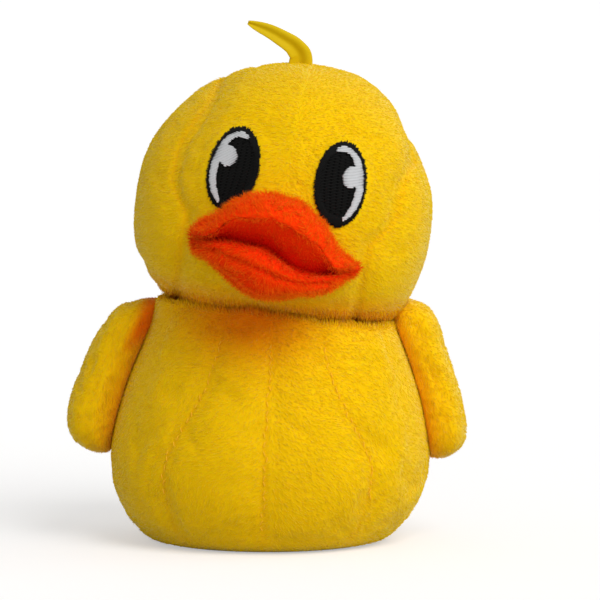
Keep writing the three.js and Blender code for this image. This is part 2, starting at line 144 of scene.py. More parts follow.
# Head: a stuffed bag of yellow plush with a face panel between two long seams. It is sewn to the
# neck with a tilt, so all that belongs to the face is made in the head's own frame and then turned.
HEAD_HALF_WIDTH = 0.0425
HEAD_HALF_DEPTH = 0.038
CROWN_HEIGHT = 0.043
CHIN_DROP = 0.034
CROWN_FULLNESS = 2.0
CHEEK_FULLNESS = 2.75
CROWN_LEAN = 0.0008
HEAD_PLACE = (0.0048, -0.003, 0.0945)
HEAD_TILT = math.radians(10)
HEAD_TURN = math.radians(-2.5)
FACE_HALF_WIDTH = 0.032
FACE_WIDEST = 0.0064
FACE_CORNER_HALF_WIDTH = 0.026
BILL_CORNER_DROP = 0.01
CROWN_SEAM_TAPER = 0.0045
NAPE_SEAM_HALF_WIDTH = 0.008
SEAM_TWIST = 0.005
EYE_SPACING = 0.0302
EYE_RISE = 0.0119
EYE_HALF_WIDTH = 0.0074
EYE_HALF_HEIGHT = 0.0119
EYE_LEAN = math.radians(5)
RIGHT_EYE_LIFT = 0.001
BILL_HALF_WIDTH = 0.0255
UPPER_BILL_ARCH = 0.0183
LOWER_BILL_DROP = 0.0115
HEAD_SEAM_DEPTH = 0.0019
HEAD_SEAM_SPREAD = 0.003
SEAM_GAP = 0.0003
PILE_DEPTH = 0.0005  # the skin lies this far below the tips of the pile
SKIN_GAP = SEAM_GAP - PILE_DEPTH  # gap that two skins keep, less their pile
# where the stuffing sits uneven: middle in the head's frame, how far out, how wide
HEAD_LUMPS = [
    ((-0.024, 0, 0.034), 0.0016, 0.009), ((0.015, 0, 0.041), 0.0013, 0.01),
    ((0.0236, 0, 0.0365), 0.0001, 0.008), ((0.0348, 0, 0.0211), -0.0018, 0.008),
    ((0.0426, 0, 0.0049), -0.0005, 0.009), ((0.0401, 0, -0.0128), -0.0009, 0.008),
    ((-0.041, 0, 0.0136), 0.0009, 0.012),
]
CLOTH_STEP = 0.0017  # side of the squares that the cloth is cut into while it is stuffed
STUFFING_STEPS = 20
STUFFING_PRESSURE = 14
SEWN_SPREAD = 0.002  # how far beside a seam the thread holds the cloth
SLACK = 0.0004  # how far the cloth starts below its place between the seams
head_turned = (
    Matrix.Translation(HEAD_PLACE) @ Matrix.Rotation(HEAD_TILT, 4, "Y") @ Matrix.Rotation(HEAD_TURN, 4, "Z")
)


def smooth_between(value, low, high):
    share = np.clip((value - low) / (high - low), 0, 1)
    return share * share * (3 - 2 * share)


def head_fullness(x, z):
    height = np.where(z > 0, CROWN_HEIGHT, CHIN_DROP)
    power = np.where(z > 0, CROWN_FULLNESS, CHEEK_FULLNESS)
    lean = CROWN_LEAN * np.maximum(z, 0) / CROWN_HEIGHT
    across = np.abs((x - lean) / HEAD_HALF_WIDTH) ** power
    along = np.abs(z / height) ** power
    return (across + along) ** (2 / power)


def head_radius(directions):
    x, y, z = directions.T
    return 1 / np.sqrt(head_fullness(x, z) + (y / HEAD_HALF_DEPTH) ** 2)


def seam_half_width(z, in_front):
    top = FACE_HALF_WIDTH - CROWN_SEAM_TAPER
    behind = NAPE_SEAM_HALF_WIDTH + (top - NAPE_SEAM_HALF_WIDTH) * smooth_between(z, -CHIN_DROP, CROWN_HEIGHT)
    widening = smooth_between(z, -BILL_CORNER_DROP / 2, FACE_WIDEST)
    taper = CROWN_SEAM_TAPER * (np.maximum(0, z - EYE_RISE) / (CROWN_HEIGHT - EYE_RISE)) ** 2
    before = FACE_CORNER_HALF_WIDTH + (FACE_HALF_WIDTH - FACE_CORNER_HALF_WIDTH) * widening - taper
    return np.where(in_front, before, behind)


def head_seam_distance(places):
    x, y, z = places.T
    twist = SEAM_TWIST * smooth_between(z, EYE_RISE, CROWN_HEIGHT - EYE_RISE)
    return np.abs(np.abs(x - twist) - seam_half_width(z, y < 0))


def head_skin(directions, offset):
    radius = head_radius(directions)
    places = directions * radius[:, None]
    away = head_seam_distance(places)
    pull = HEAD_SEAM_DEPTH * np.exp(-away / HEAD_SEAM_SPREAD)
    for middle, out, wide in HEAD_LUMPS:
        pull = pull - out * np.exp(-(((places - middle) ** 2).sum(1)) / wide**2)
    return directions * (radius - pull + offset)[:, None]


def turned(places, matrix):
    return places @ np.array(matrix.to_3x3()).T + np.array(matrix.translation)


def vertex_places(mesh):
    places = np.empty(len(mesh.vertices) * 3)
    mesh.vertices.foreach_get("co", places)
    return places.reshape(-1, 3)


def vertex_normals(mesh):
    normals = np.empty(len(mesh.vertices) * 3)
    mesh.vertices.foreach_get("normal", normals)
    return normals.reshape(-1, 3)


def unit(vectors):
    return vectors / np.maximum(np.linalg.norm(vectors, axis=1, keepdims=True), 1e-9)


def piece_of(name, shape, node):
    """A new piece that stands for one of the plain solids"""
    mesh = bpy.data.meshes.new(name)
    shape.to_mesh(mesh)
    shape.free()
    mesh.polygons.foreach_set("use_smooth", np.ones(len(mesh.polygons), bool))
    piece = bpy.data.objects.new(name, mesh)
    bpy.context.scene.collection.objects.link(piece)
    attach(piece, "root")
    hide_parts(node)
    return piece


def put(piece, places):
    """Moves a piece's points to their places"""
    piece.data.vertices.foreach_set("co", places.ravel())
    piece.data.update()


def inside_eye(local, grown=0.0):
    """True where a point of the face lies under the stitching of an eye"""
    found = np.zeros(len(local), bool)
    for side in (-1, 1):
        x = side * EYE_SPACING / 2
        z = EYE_RISE + (RIGHT_EYE_LIFT if side > 0 else 0)
        lean = -side * EYE_LEAN
        dx, dz = local[:, 0] - x, local[:, 2] - z
        across = dx * math.cos(lean) - dz * math.sin(lean)
        along = dx * math.sin(lean) + dz * math.cos(lean)
        share = np.hypot(across / (EYE_HALF_WIDTH + grown), along / (EYE_HALF_HEIGHT + grown))
        found |= (share < 1) & (local[:, 1] < 0)
    return found


def under_bill(local, grown=0.0):
    """True where the bill's two halves cover the face"""
    high = np.where(local[:, 2] > -BILL_CORNER_DROP, UPPER_BILL_ARCH, LOWER_BILL_DROP) + grown
    share = np.hypot(local[:, 0] / (BILL_HALF_WIDTH + grown), (local[:, 2] + BILL_CORNER_DROP) / high)
    return (share < 1) & (local[:, 1] < 0)


def stuffed(piece, cloth_step, fitted, sewn, spare, most):
    """Cuts the cloth into even squares and lets the stuffing push it out between what is sewn down

    fitted puts points onto the bag's drawn shape, and sewn says how firmly each of them is held.
    spare is the share of cloth to spare, and most is how far any point may move."""
    squares = piece.modifiers.new("squares", "REMESH")
    squares.mode = "VOXEL"
    squares.voxel_size = cloth_step
    apply_modifiers(piece)
    start = fitted(vertex_places(piece.data))
    put(piece, start)
    group = piece.vertex_groups.new(name="sewn")
    for index, share in enumerate(sewn(start)):
        group.add([index], float(share), "REPLACE")
    cloth = piece.modifiers.new("stuffing", "CLOTH")
    cloth.settings.vertex_group_mass = "sewn"
    cloth.settings.use_pressure = True
    cloth.settings.uniform_pressure_force = STUFFING_PRESSURE
    cloth.settings.shrink_min = -spare
    cloth.settings.effector_weights.gravity = 0
    cloth.collision_settings.use_collision = False
    cloth.point_cache.frame_end = STUFFING_STEPS
    for step in range(1, STUFFING_STEPS + 1):
        bpy.context.scene.frame_set(step)
    graph = bpy.context.evaluated_depsgraph_get()
    moved = vertex_places(piece.evaluated_get(graph).data) - start
    far = np.linalg.norm(moved, axis=1, keepdims=True)
    moved *= np.minimum(1, most / np.maximum(far, 1e-9))
    piece.modifiers.clear()
    piece.vertex_groups.clear()
    put(piece, start + moved)
    bpy.context.scene.frame_set(1)
    rounded = piece.modifiers.new("rounded", "SUBSURF")
    rounded.levels = rounded.render_levels = 1
    apply_modifiers(piece)
    piece.data.polygons.foreach_set("use_smooth", np.ones(len(piece.data.polygons), bool))


def apply_modifiers(piece):
    bpy.context.view_layer.update()
    graph = bpy.context.evaluated_depsgraph_get()
    mesh = bpy.data.meshes.new_from_object(piece.evaluated_get(graph), depsgraph=graph)
    piece.modifiers.clear()
    old = piece.data
    piece.data = mesh
    bpy.data.meshes.remove(old)


def draw_in(piece, away, depth, spread):
    """Pulls the cloth in along a seam, as the thread does"""
    places = vertex_places(piece.data)
    pull = depth * np.exp(-((away / spread) ** 2))
    put(piece, places - vertex_normals(piece.data) * pull[:, None])


def fit_head(places):
    local = turned(places, head_turned.inverted())
    return turned(head_skin(unit(local), -PILE_DEPTH - SLACK * (1 - head_sewn(places))), head_turned)


def head_sewn(places):
    local = turned(places, head_turned.inverted())
    at_seam = np.exp(-((head_seam_distance(local) / SEWN_SPREAD) ** 2))
    at_eye = inside_eye(local, EYE_SEWN_MARGIN).astype(float)
    at_bill = under_bill(local, BILL_SEWN_MARGIN).astype(float)
    at_neck = smooth_between(-local[:, 2], *NECK_SEWN_DROPS)
    return np.clip(np.maximum.reduce([at_seam, at_eye, at_bill, at_neck]), 0, 1)


EYE_SEWN_MARGIN = 0.002
BILL_SEWN_MARGIN = 0.001
NECK_SEWN_DROPS = (0.024, 0.028)  # below the first the neck begins to hold the head's cloth
HEAD_FURROW_DEPTH = 0.0005
HEAD_FURROW_SPREAD = 0.0011
head_shape = bmesh.new()
bmesh.ops.create_icosphere(head_shape, subdivisions=6, radius=1)
head = piece_of("head_skin", head_shape, "head")
head_start = head_skin(unit(vertex_places(head.data)), -PILE_DEPTH)
put(head, turned(head_start, head_turned))
stuffed(head, CLOTH_STEP, fit_head, head_sewn, spare=0.02, most=0.0014)
head_local = turned(vertex_places(head.data), head_turned.inverted())
draw_in(head, head_seam_distance(head_local), HEAD_FURROW_DEPTH, HEAD_FURROW_SPREAD)
head_local = turned(vertex_places(head.data), head_turned.inverted())

# Plush: a knitted backing with a short dense pile that lies along its nap. The tips catch the light
# and are paler. Orange shade is painted into the pile in creases, seams and joints.
PATCH_SCALE = 90
STREAK_SCALE = (160, 160, 700)
plush_look = bpy.data.node_groups.new("plush look", "ShaderNodeTree")
for label, kind, default in [
    ("Root Colour", "NodeSocketColor", (0.8, 0.5, 0.01, 1)),
    ("Tip Colour", "NodeSocketColor", (0.9, 0.6, 0.01, 1)),
    ("Painted Shade Colour", "NodeSocketColor", (0.9, 0.3, 0.01, 1)),
    ("Patchiness", "NodeSocketFloat", 0.1),
]:
    plush_look.interface.new_socket(label, in_out="INPUT", socket_type=kind).default_value = default
plush_look.interface.new_socket("Colour", in_out="OUTPUT", socket_type="NodeSocketColor")
look_in = node_in(plush_look, "NodeGroupInput")
look_out = node_in(plush_look, "NodeGroupOutput")
place = node_in(plush_look, "ShaderNodeTexCoord")
patches = node_in(plush_look, "ShaderNodeTexNoise", {"Scale": PATCH_SCALE, "Detail": 3})
stretch = node_in(plush_look, "ShaderNodeMapping", {"Scale": STREAK_SCALE})
streaks = node_in(plush_look, "ShaderNodeTexNoise", {"Scale": 1, "Detail": 2})
both = node_in(plush_look, "ShaderNodeMath", operation="ADD")
centred = node_in(plush_look, "ShaderNodeMath", {1: 1}, "SUBTRACT")
weighed = node_in(plush_look, "ShaderNodeMath", {2: 1}, "MULTIPLY_ADD")
tip = node_in(plush_look, "ShaderNodeAttribute")
tip.attribute_name = "pile_tip"
# painted shade: where the pile lies in creases, seams and joints its colour is mixed towards an orange shade
painted_shade = node_in(plush_look, "ShaderNodeAttribute")
painted_shade.attribute_name = "painted_shade"
along_fibre = node_in(plush_look, "ShaderNodeMix", data_type="RGBA")
shaded_in_creases = node_in(plush_look, "ShaderNodeMix", data_type="RGBA")
varied = node_in(plush_look, "ShaderNodeVectorMath", operation="SCALE")
wire(
    plush_look,
    (place, "Object", patches, "Vector"), (place, "Object", stretch, "Vector"),
    (stretch, "Vector", streaks, "Vector"), (patches, "Fac", both, 0), (streaks, "Fac", both, 1),
    (both, 0, centred, 0), (centred, 0, weighed, 0), (look_in, "Patchiness", weighed, 1),
    (tip, "Fac", along_fibre, "Factor"), (look_in, "Root Colour", along_fibre, "A"),
    (look_in, "Tip Colour", along_fibre, "B"), (painted_shade, "Fac", shaded_in_creases, "Factor"),
    (along_fibre, "Result", shaded_in_creases, "A"), (look_in, "Painted Shade Colour", shaded_in_creases, "B"),
    (shaded_in_creases, "Result", varied, 0), (weighed, 0, varied, "Scale"), (varied, 0, look_out, "Colour"),
)


# painted sheen: the pile is mixed towards a paler colour where it is seen at a slant
PAINTED_SHEEN_STEEPNESS = 3.8  # how late the pile turns paler as it is seen more aslant


def plush_material(name, root, tip, painted_shade, painted_sheen_colour, patchiness, painted_sheen_share):
    """Where the pile is seen at a slant, a paler colour is mixed in as a painted sheen"""
    material = bpy.data.materials.new(name)
    material.use_nodes = True
    tree = material.node_tree
    shader = tree.nodes["Principled BSDF"]
    shader.inputs["Roughness"].default_value = 0.8
    shader.inputs["Specular IOR Level"].default_value = 0.03
    shader.inputs["Subsurface Weight"].default_value = 0.35
    shader.inputs["Subsurface Radius"].default_value = (1, 0.7, 0.15)
    shader.inputs["Subsurface Scale"].default_value = 0.0012
    look = tree.nodes.new("ShaderNodeGroup")
    look.node_tree = plush_look
    for label, colour in [("Root Colour", root), ("Tip Colour", tip), ("Painted Shade Colour", painted_shade)]:
        look.inputs[label].default_value = (*colour, 1)
    look.inputs["Patchiness"].default_value = patchiness
    facing = node_in(tree, "ShaderNodeLayerWeight")
    steep = node_in(tree, "ShaderNodeMath", {1: PAINTED_SHEEN_STEEPNESS}, "POWER")
    part = node_in(tree, "ShaderNodeMath", {1: painted_sheen_share}, "MULTIPLY")
    paler = node_in(tree, "ShaderNodeMix", {"B": (*painted_sheen_colour, 1)}, data_type="RGBA")
    wire(
        tree,
        (facing, "Facing", steep, 0), (steep, 0, part, 0), (part, 0, paler, "Factor"),
        (look, "Colour", paler, "A"), (paler, "Result", shader, "Base Color"),
    )
    return material


def tangent(normals, wanted):
    """The wanted directions laid flat on the skin"""
    return unit(wanted - normals * (normals * wanted).sum(1, keepdims=True))


def brushed(places, seed, wave, amount):
    """A smooth wandering of the nap from place to place"""
    chance = np.random.default_rng(seed)
    wander = np.zeros_like(places)
    for _ in range(7):
        across = unit(chance.normal(size=(1, 3)))[0] * 2 * math.pi / (wave * chance.uniform(0.5, 1.5))
        wander += np.sin(places @ across + chance.uniform(0, 2 * math.pi))[:, None] * chance.normal(size=3)
    return wander * amount / math.sqrt(7)


LEAST_FIBRE = 0.7  # the shortest and the tallest fibre, as shares of the pile's length
TALLEST_FIBRE = 1.15


def keep_on(mesh, measures):
    """Keeps directions and values at a mesh's points, for its nodes and its material to read"""
    for label, values in measures.items():
        kind, key = ("FLOAT_VECTOR", "vector") if values.ndim > 1 else ("FLOAT", "value")
        layer = mesh.attributes.get(label) or mesh.attributes.new(label, kind, "POINT")
        layer.data.foreach_set(key, values.astype(np.float32).ravel())


def geometry_tree(name):
    """Nodes that take one mesh in and give one out"""
    tree = bpy.data.node_groups.new(name, "GeometryNodeTree")
    tree.interface.new_socket("Before", in_out="INPUT", socket_type="NodeSocketGeometry")
    tree.interface.new_socket("After", in_out="OUTPUT", socket_type="NodeSocketGeometry")
    return tree, node_in(tree, "NodeGroupInput"), node_in(tree, "NodeGroupOutput")


def kept(tree, label, kind="FLOAT"):
    """What keep_on kept under a label"""
    node = node_in(tree, "GeometryNodeInputNamedAttribute", {"Name": label}, data_type=kind)
    return node.outputs["Attribute"]


def grow_pile(skin, node_name, nap, light, share, painted_shade, kind, seed, material):
    """Short fibres over a skin: three-sided spikes that lean along the nap, lit as the cloth is

    share is where the pile grows, and over 1 it is both denser and taller."""
    mesh = skin.data
    keep_on(mesh, {"nap": nap, "cloth_normal": light, "pile_share": share, "painted_shade": painted_shade})
    tree, skin_in, pile_out = geometry_tree(node_name)
    link = tree.links.new

    def scaled(value, factor):
        node = node_in(tree, "ShaderNodeVectorMath", {"Scale": factor}, "SCALE")
        link(value, node.inputs[0])
        return node.outputs[0]

    def summed(one, other):
        node = node_in(tree, "ShaderNodeVectorMath", operation="ADD")
        link(one, node.inputs[0])
        link(other, node.inputs[1])
        return node.outputs[0]

    def chance(least, most, number):
        values = {0: least, 1: most, "Seed": number}
        return node_in(tree, "FunctionNodeRandomValue", values, data_type="FLOAT_VECTOR").outputs[0]

    scatter = node_in(tree, "GeometryNodeDistributePointsOnFaces", {"Seed": seed})
    scatter.distribute_method = "RANDOM"
    density = node_in(tree, "ShaderNodeMath", {1: kind["per_area"]}, "MULTIPLY")
    link(kept(tree, "pile_share"), density.inputs[0])
    leaning = summed(
        scaled(kept(tree, "nap", "FLOAT_VECTOR"), math.sin(kind["lean"])),
        scaled(scatter.outputs["Normal"], math.cos(kind["lean"])),
    )
    stray = kind["stray"]
    leaning = summed(leaning, chance((-stray,) * 3, (stray,) * 3, seed + 1))
    rolled = node_in(tree, "FunctionNodeEulerToRotation")
    link(chance((0, 0, 0), (0, 0, 2 * math.pi), seed + 2), rolled.inputs[0])
    aligned = node_in(tree, "FunctionNodeAlignRotationToVector")
    aligned.axis = "Z"
    link(leaning, aligned.inputs["Vector"])
    spike = node_in(tree, "GeometryNodeMeshCone", {
        "Vertices": 3, "Side Segments": 1, "Radius Top": 0, "Radius Bottom": kind["width"] / 2,
        "Depth": kind["length"],
    })
    spike.fill_type = "NGON"
    position = node_in(tree, "GeometryNodeInputPosition")
    split = node_in(tree, "ShaderNodeSeparateXYZ")
    tip_share = node_in(tree, "ShaderNodeMath", {1: kind["length"]}, "DIVIDE")
    tipped = node_in(tree, "GeometryNodeStoreNamedAttribute", {"Name": "pile_tip"}, data_type="FLOAT")
    tipped.domain = "POINT"
    plant = node_in(tree, "GeometryNodeInstanceOnPoints")
    taller = node_in(tree, "ShaderNodeMath", {1: 1}, "MAXIMUM")
    link(kept(tree, "pile_share"), taller.inputs[0])
    heights = {2: LEAST_FIBRE, 3: TALLEST_FIBRE, "Seed": seed + 3}
    tall = node_in(tree, "FunctionNodeRandomValue", heights, data_type="FLOAT")
    size = node_in(tree, "ShaderNodeMath", operation="MULTIPLY")
    real = node_in(tree, "GeometryNodeRealizeInstances")
    lit = node_in(tree, "GeometryNodeSetMeshNormal")
    lit.mode = "FREE"
    lit.domain = "POINT"
    own = node_in(tree, "GeometryNodeInputNormal")
    link(
        summed(kept(tree, "cloth_normal", "FLOAT_VECTOR"), scaled(own.outputs["Normal"], kind["own_light"])),
        lit.inputs["Custom Normal"],
    )
    wire(
        tree,
        (skin_in, 0, scatter, "Mesh"), (density, 0, scatter, "Density"), (rolled, 0, aligned, "Rotation"),
        (position, 0, split, 0), (split, "Z", tip_share, 0), (spike, "Mesh", tipped, "Geometry"),
        (tip_share, 0, tipped, "Value"), (scatter, "Points", plant, "Points"),
        (tipped, "Geometry", plant, "Instance"), (aligned, 0, plant, "Rotation"), (taller, 0, size, 0),
        (tall, 1, size, 1), (size, 0, plant, "Scale"), (plant, "Instances", real, "Geometry"),
        (real, "Geometry", lit, "Mesh"), (lit, "Mesh", pile_out, 0),
    )
    grower = bpy.data.objects.new(node_name, mesh.copy())
    bpy.context.scene.collection.objects.link(grower)
    grower.modifiers.new("pile", "NODES").node_group = tree
    bpy.context.view_layer.update()
    graph = bpy.context.evaluated_depsgraph_get()
    pile_mesh = bpy.data.meshes.new_from_object(grower.evaluated_get(graph), depsgraph=graph)
    bpy.data.objects.remove(grower)
    for label in ("nap", "pile_share", "cloth_normal"):
        if label in pile_mesh.attributes:
            pile_mesh.attributes.remove(pile_mesh.attributes[label])
    # each fibre's four faces lie side by side in a square of their own
    fibres = len(pile_mesh.polygons) // 4
    squares = math.ceil(fibres**0.5)
    index = np.arange(fibres)
    corner = np.column_stack([index % squares, index // squares])[:, None, None, :]
    quarter = np.array([[0, 0], [0.5, 0], [0, 0.5], [0.5, 0.5]])[None, :, None, :]
    triangle = np.array([[0.06, 0.06], [0.44, 0.06], [0.06, 0.44]])[None, None, :, :]
    bake_map = (corner + quarter + triangle) / squares
    pile_mesh.uv_layers.new(name="OFBake").data.foreach_set("uv", bake_map.astype(np.float32).ravel())
    pile = bpy.data.objects.new(node_name, pile_mesh)
    bpy.context.scene.collection.objects.link(pile)
    pile_mesh.materials.clear()
    pile_mesh.materials.append(material)
    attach(pile, "root")


# where the head meets the body, and how much lower that is to the right
JOINT_HEIGHT = 0.0702
JOINT_SLOPE = 0.095
# at the joint the pile is denser, stands across it and is lit as an upright wall is
HEAD_JOINT_NAP, BODY_JOINT_NAP = 0.5, 0.8
HEAD_JOINT_EXTRA, BODY_JOINT_EXTRA = 0.4, 0.7
JOINT_LIGHT = 0.85
# painted shade: how much orange shade is painted on the pile in the joint, how wide it spreads beside a seam,
# and how much lies along the head's seams and on the chin above the joint
JOINT_PAINTED_SHADE = 0.6  # how orange the pile is in the joint itself
SEAM_PAINTED_SHADE_SPREAD = 0.001
HEAD_SEAM_PAINTED_SHADE = 0.14
HEAD_JOINT_PAINTED_SHADE = 0.35
HEAD_NAP = (0.9, 0.5, -0.45)  # how the pile is combed: out from the middle, backwards and down
NAP_WANDER = 0.22
BODY_PILE = {
    "per_area": 3.0e6, "length": 0.001, "width": 0.00025, "lean": math.radians(65), "stray": 0.13,
    "own_light": 0.06,
}
# the yellow plush's orange painted shade for creases, seams and joints, and its pale painted sheen
yellow_plush = plush_material(
    "yellow plush", root=(0.9, 0.57, 0.002), tip=(0.93, 0.66, 0.003), painted_shade=(0.92, 0.2, 0.001),
    painted_sheen_colour=(0.93, 0.83, 0.3), patchiness=0.06, painted_sheen_share=0.95,
)


def combed(sides, nap):
    """One way to comb the pile, mirrored from side to side"""
    return np.column_stack([sides * nap[0], np.full(len(sides), nap[1]), np.full(len(sides), nap[2])])


def upright(places):
    """Level directions away from the middle"""
    return unit(places * [1, 1, 0])


def grow_yellow(skin, node_name, nap, light, share, painted_shade, seed):
    grow_pile(skin, node_name, nap, light, share, painted_shade, BODY_PILE, seed, yellow_plush)


head.data.materials.append(yellow_plush)
head_normals = vertex_normals(head.data)
head_wanted = combed(np.sign(head_local[:, 0]), HEAD_NAP)
head_nap = tangent(head_normals, head_wanted + brushed(head_local, 7, 0.02, NAP_WANDER))
head_places = vertex_places(head.data)
above_joint = head_places[:, 2] - (JOINT_HEIGHT - JOINT_SLOPE * head_places[:, 0])
at_joint = 1 - smooth_between(above_joint, 0, 0.002)
downwards = tangent(head_normals, np.array([[0, 0, -1.0]]))
head_nap += (HEAD_JOINT_NAP * downwards - head_nap) * at_joint[:, None]
near_joint = JOINT_LIGHT * (1 - smooth_between(above_joint, 0.001, 0.009))[:, None]
head_light = unit(head_normals * (1 - near_joint) + upright(head_places) * near_joint)
head_share = (~inside_eye(head_local, 0.0005)).astype(float)
head_share *= 1 + HEAD_JOINT_EXTRA * at_joint
# orange shade painted on the head's pile along its seams, on the chin and in the joint
head_painted_shade = np.maximum.reduce([
    HEAD_SEAM_PAINTED_SHADE * np.exp(-head_seam_distance(head_local) / SEAM_PAINTED_SHADE_SPREAD),
    HEAD_JOINT_PAINTED_SHADE * (1 - smooth_between(above_joint, 0, 0.007)),
    JOINT_PAINTED_SHADE * np.exp(-np.maximum(above_joint, 0) / 0.0015),
])
in_front = head_local[:, 1] < 0
for name, half, seed in [("head_front_pile", in_front, 11), ("head_back_pile", ~in_front, 15)]:
    grow_yellow(head, name, head_nap, head_light, head_share * half, head_painted_shade, seed)

# Body: a pear-shaped bag of six gores of the same plush, sewn edge to edge and stuffed firm. Its
# underside is sewn flat, and the head presses its top in.
BASE_RADIUS = 0.0285
BELLY_RADIUS = 0.0463
BELLY_HEIGHT = 0.025
NECK_RADIUS = 0.0325
NECK_HEIGHT = 0.0685
COLLAR_HEIGHT = 0.008
BODY_DEPTH_SHARE = 0.9
NECK_SHIFT = 0.002
TOE_FULLNESS = 1.9
CHEST_FULLNESS = 1.65
BODY_SEAM_ANGLES = [-96, -42, -2, 40, 96, 180]
GORE_NARROWING = 0.7  # how much narrower the front gores are at the neck
GORE_NARROWING_HEIGHTS = (0.022, 0.06)
GORE_NARROWING_ANGLES = (25, 96)
BASE_EDGE_HEIGHT = 0.004
BODY_SEAM_DEPTH = 0.0009
BODY_SEAM_SPREAD = 0.005


def body_middle(height):
    """How far to the right the bag's middle is"""
    return NECK_SHIFT * height / NECK_HEIGHT


def seen_from_above(places, height):
    """How far places lie across and along from the bag's middle, as if the bag were round"""
    return places[:, 0] - body_middle(height), places[:, 1] / BODY_DEPTH_SHARE


def body_radius(height):
    fall = np.clip((BELLY_HEIGHT - np.maximum(height, 0)) / BELLY_HEIGHT, 0, 1)
    toe = BASE_RADIUS + (BELLY_RADIUS - BASE_RADIUS) * (1 - fall**TOE_FULLNESS) ** (1 / TOE_FULLNESS)
    rise = np.maximum(0, (height - BELLY_HEIGHT) / (NECK_HEIGHT - BELLY_HEIGHT))
    chest = BELLY_RADIUS - (BELLY_RADIUS - NECK_RADIUS) * rise**CHEST_FULLNESS
    return np.where(height < BELLY_HEIGHT, toe, chest)


def body_seam_distance(angle, radius, height):
    """The front gores narrow towards the neck, so the seams there lie closer to the middle"""
    narrowed = smooth_between(height, *GORE_NARROWING_HEIGHTS)
    narrowed *= 1 - smooth_between(np.abs(angle), *GORE_NARROWING_ANGLES)
    angle = angle * (1 + GORE_NARROWING * narrowed)
    away = [np.abs((angle - seam + 540) % 360 - 180) for seam in BODY_SEAM_ANGLES]
    return np.radians(np.min(away, axis=0)) * radius


def body_skin(directions, offset):
    """Lays a ball's points along the bag's outline, from the middle of the base to the top"""
    heights = np.concatenate([np.zeros(20), BELLY_HEIGHT * (1 - np.cos(np.linspace(0, math.pi / 2, 60)))])
    top = NECK_HEIGHT + COLLAR_HEIGHT
    heights = np.concatenate([heights, np.linspace(BELLY_HEIGHT, top, 80)[1:], np.full(20, top)])
    radii = body_radius(heights)
    radii[:20] = BASE_RADIUS * np.linspace(0, 1, 20)
    radii[-20:] = radii[-20] * np.linspace(1, 0, 20)
    steps = np.hypot(np.diff(heights), np.diff(radii))
    gone = np.concatenate([[0], np.cumsum(steps)]) / steps.sum()
    share = 1 - np.arccos(np.clip(directions[:, 2], -1, 1)) / math.pi
    height = np.interp(share, gone, heights)
    radius = np.interp(share, gone, radii)
    angle = np.degrees(np.arctan2(directions[:, 0], -directions[:, 1]))
    pull = BODY_SEAM_DEPTH * np.exp(-body_seam_distance(angle, radius, height) / BODY_SEAM_SPREAD)
    pull = pull * smooth_between(height, 0, BELLY_HEIGHT / 2)
    pull = pull - offset * np.clip(height / BASE_EDGE_HEIGHT, 0, 1)
    pulled = np.maximum(radius - pull, 0)
    turn = np.radians(angle)
    middle = body_middle(height)
    return np.column_stack([
        middle + pulled * np.sin(turn),
        -pulled * BODY_DEPTH_SHARE * np.cos(turn),
        np.maximum(height, 0),
    ])


def head_share_at(places, grown):
    """Under 1 inside the head, grown by an offset"""
    local = turned(places, head_turned.inverted())
    distance = np.linalg.norm(local, axis=1)
    return distance / np.maximum(head_radius(unit(local)) + grown, 1e-6)


def sink_below_head(places):
    """Moves points that lie inside the head straight down onto its underside"""
    low, high = np.zeros(len(places)), np.full(len(places), 0.04)
    inside = head_share_at(places, SKIN_GAP) < 1
    for _ in range(24):
        middle = (low + high) / 2
        still = head_share_at(places - middle[:, None] * [0, 0, 1], SKIN_GAP) < 1
        low, high = np.where(still, middle, low), np.where(still, high, middle)
    return places - (high * inside)[:, None] * [0, 0, 1], inside


def fit_body(places):
    """Puts points on the bag's outline, a little slack between the seams"""
    slack = PILE_DEPTH + SLACK * (1 - body_sewn(places))
    height = np.clip(places[:, 2], 0, NECK_HEIGHT + COLLAR_HEIGHT)
    across, along = seen_from_above(places, height)
    now = np.hypot(across, along)
    angle = np.degrees(np.arctan2(across, -along))
    radius = body_radius(height)
    pull = BODY_SEAM_DEPTH * np.exp(-body_seam_distance(angle, radius, height) / BODY_SEAM_SPREAD)
    beside = np.abs(across) / np.maximum(now, 1e-6)
    neck = NECK_DRAW * np.exp(-np.maximum(0, head_share_at(places, 0) - 1) / NECK_DRAW_SPREAD)
    neck *= 1 - smooth_between(beside, 0.6, 0.9)
    left_shoulder = np.exp(-(((height - SHOULDER_HEIGHT) / SHOULDER_SPREAD) ** 2)) * (across < 0)
    neck -= SHOULDER_RISE * left_shoulder * smooth_between(beside, 0.7, 0.98)
    pull = pull * smooth_between(height, 0, BELLY_HEIGHT / 2)
    wanted = radius - neck - pull - slack * np.clip(height / BASE_EDGE_HEIGHT, 0, 1)
    on_side = (places[:, 2] > 0.002) & (now > radius * 0.93)
    more = np.where(on_side, wanted / np.maximum(now, 1e-6), 1)[:, None]
    middle = np.column_stack([body_middle(height), 0 * height])
    fitted = np.column_stack([middle + (places[:, :2] - middle) * more, np.maximum(places[:, 2], 0)])
    return sink_below_head(fitted)[0]


def body_seam_away(places):
    across, along = seen_from_above(places, places[:, 2])
    return body_seam_distance(np.degrees(np.arctan2(across, -along)), np.hypot(across, along), places[:, 2])


def body_sewn(places):
    at_seam = np.exp(-((body_seam_away(places) / SEWN_SPREAD) ** 2))
    at_base = 1 - smooth_between(places[:, 2], *BASE_SEWN_HEIGHTS)
    at_head = 1 - smooth_between(head_share_at(places, 0), *HEAD_SEWN_SHARES)
    across, along = seen_from_above(places, places[:, 2])
    beside = np.abs(across) / np.hypot(across, along)
    at_wing = smooth_between(beside, *WING_SEWN_SIDES) * smooth_between(places[:, 2], *WING_SEWN_HEIGHTS)
    return np.clip(np.maximum.reduce([at_seam, at_base, at_head, at_wing]), 0, 1)


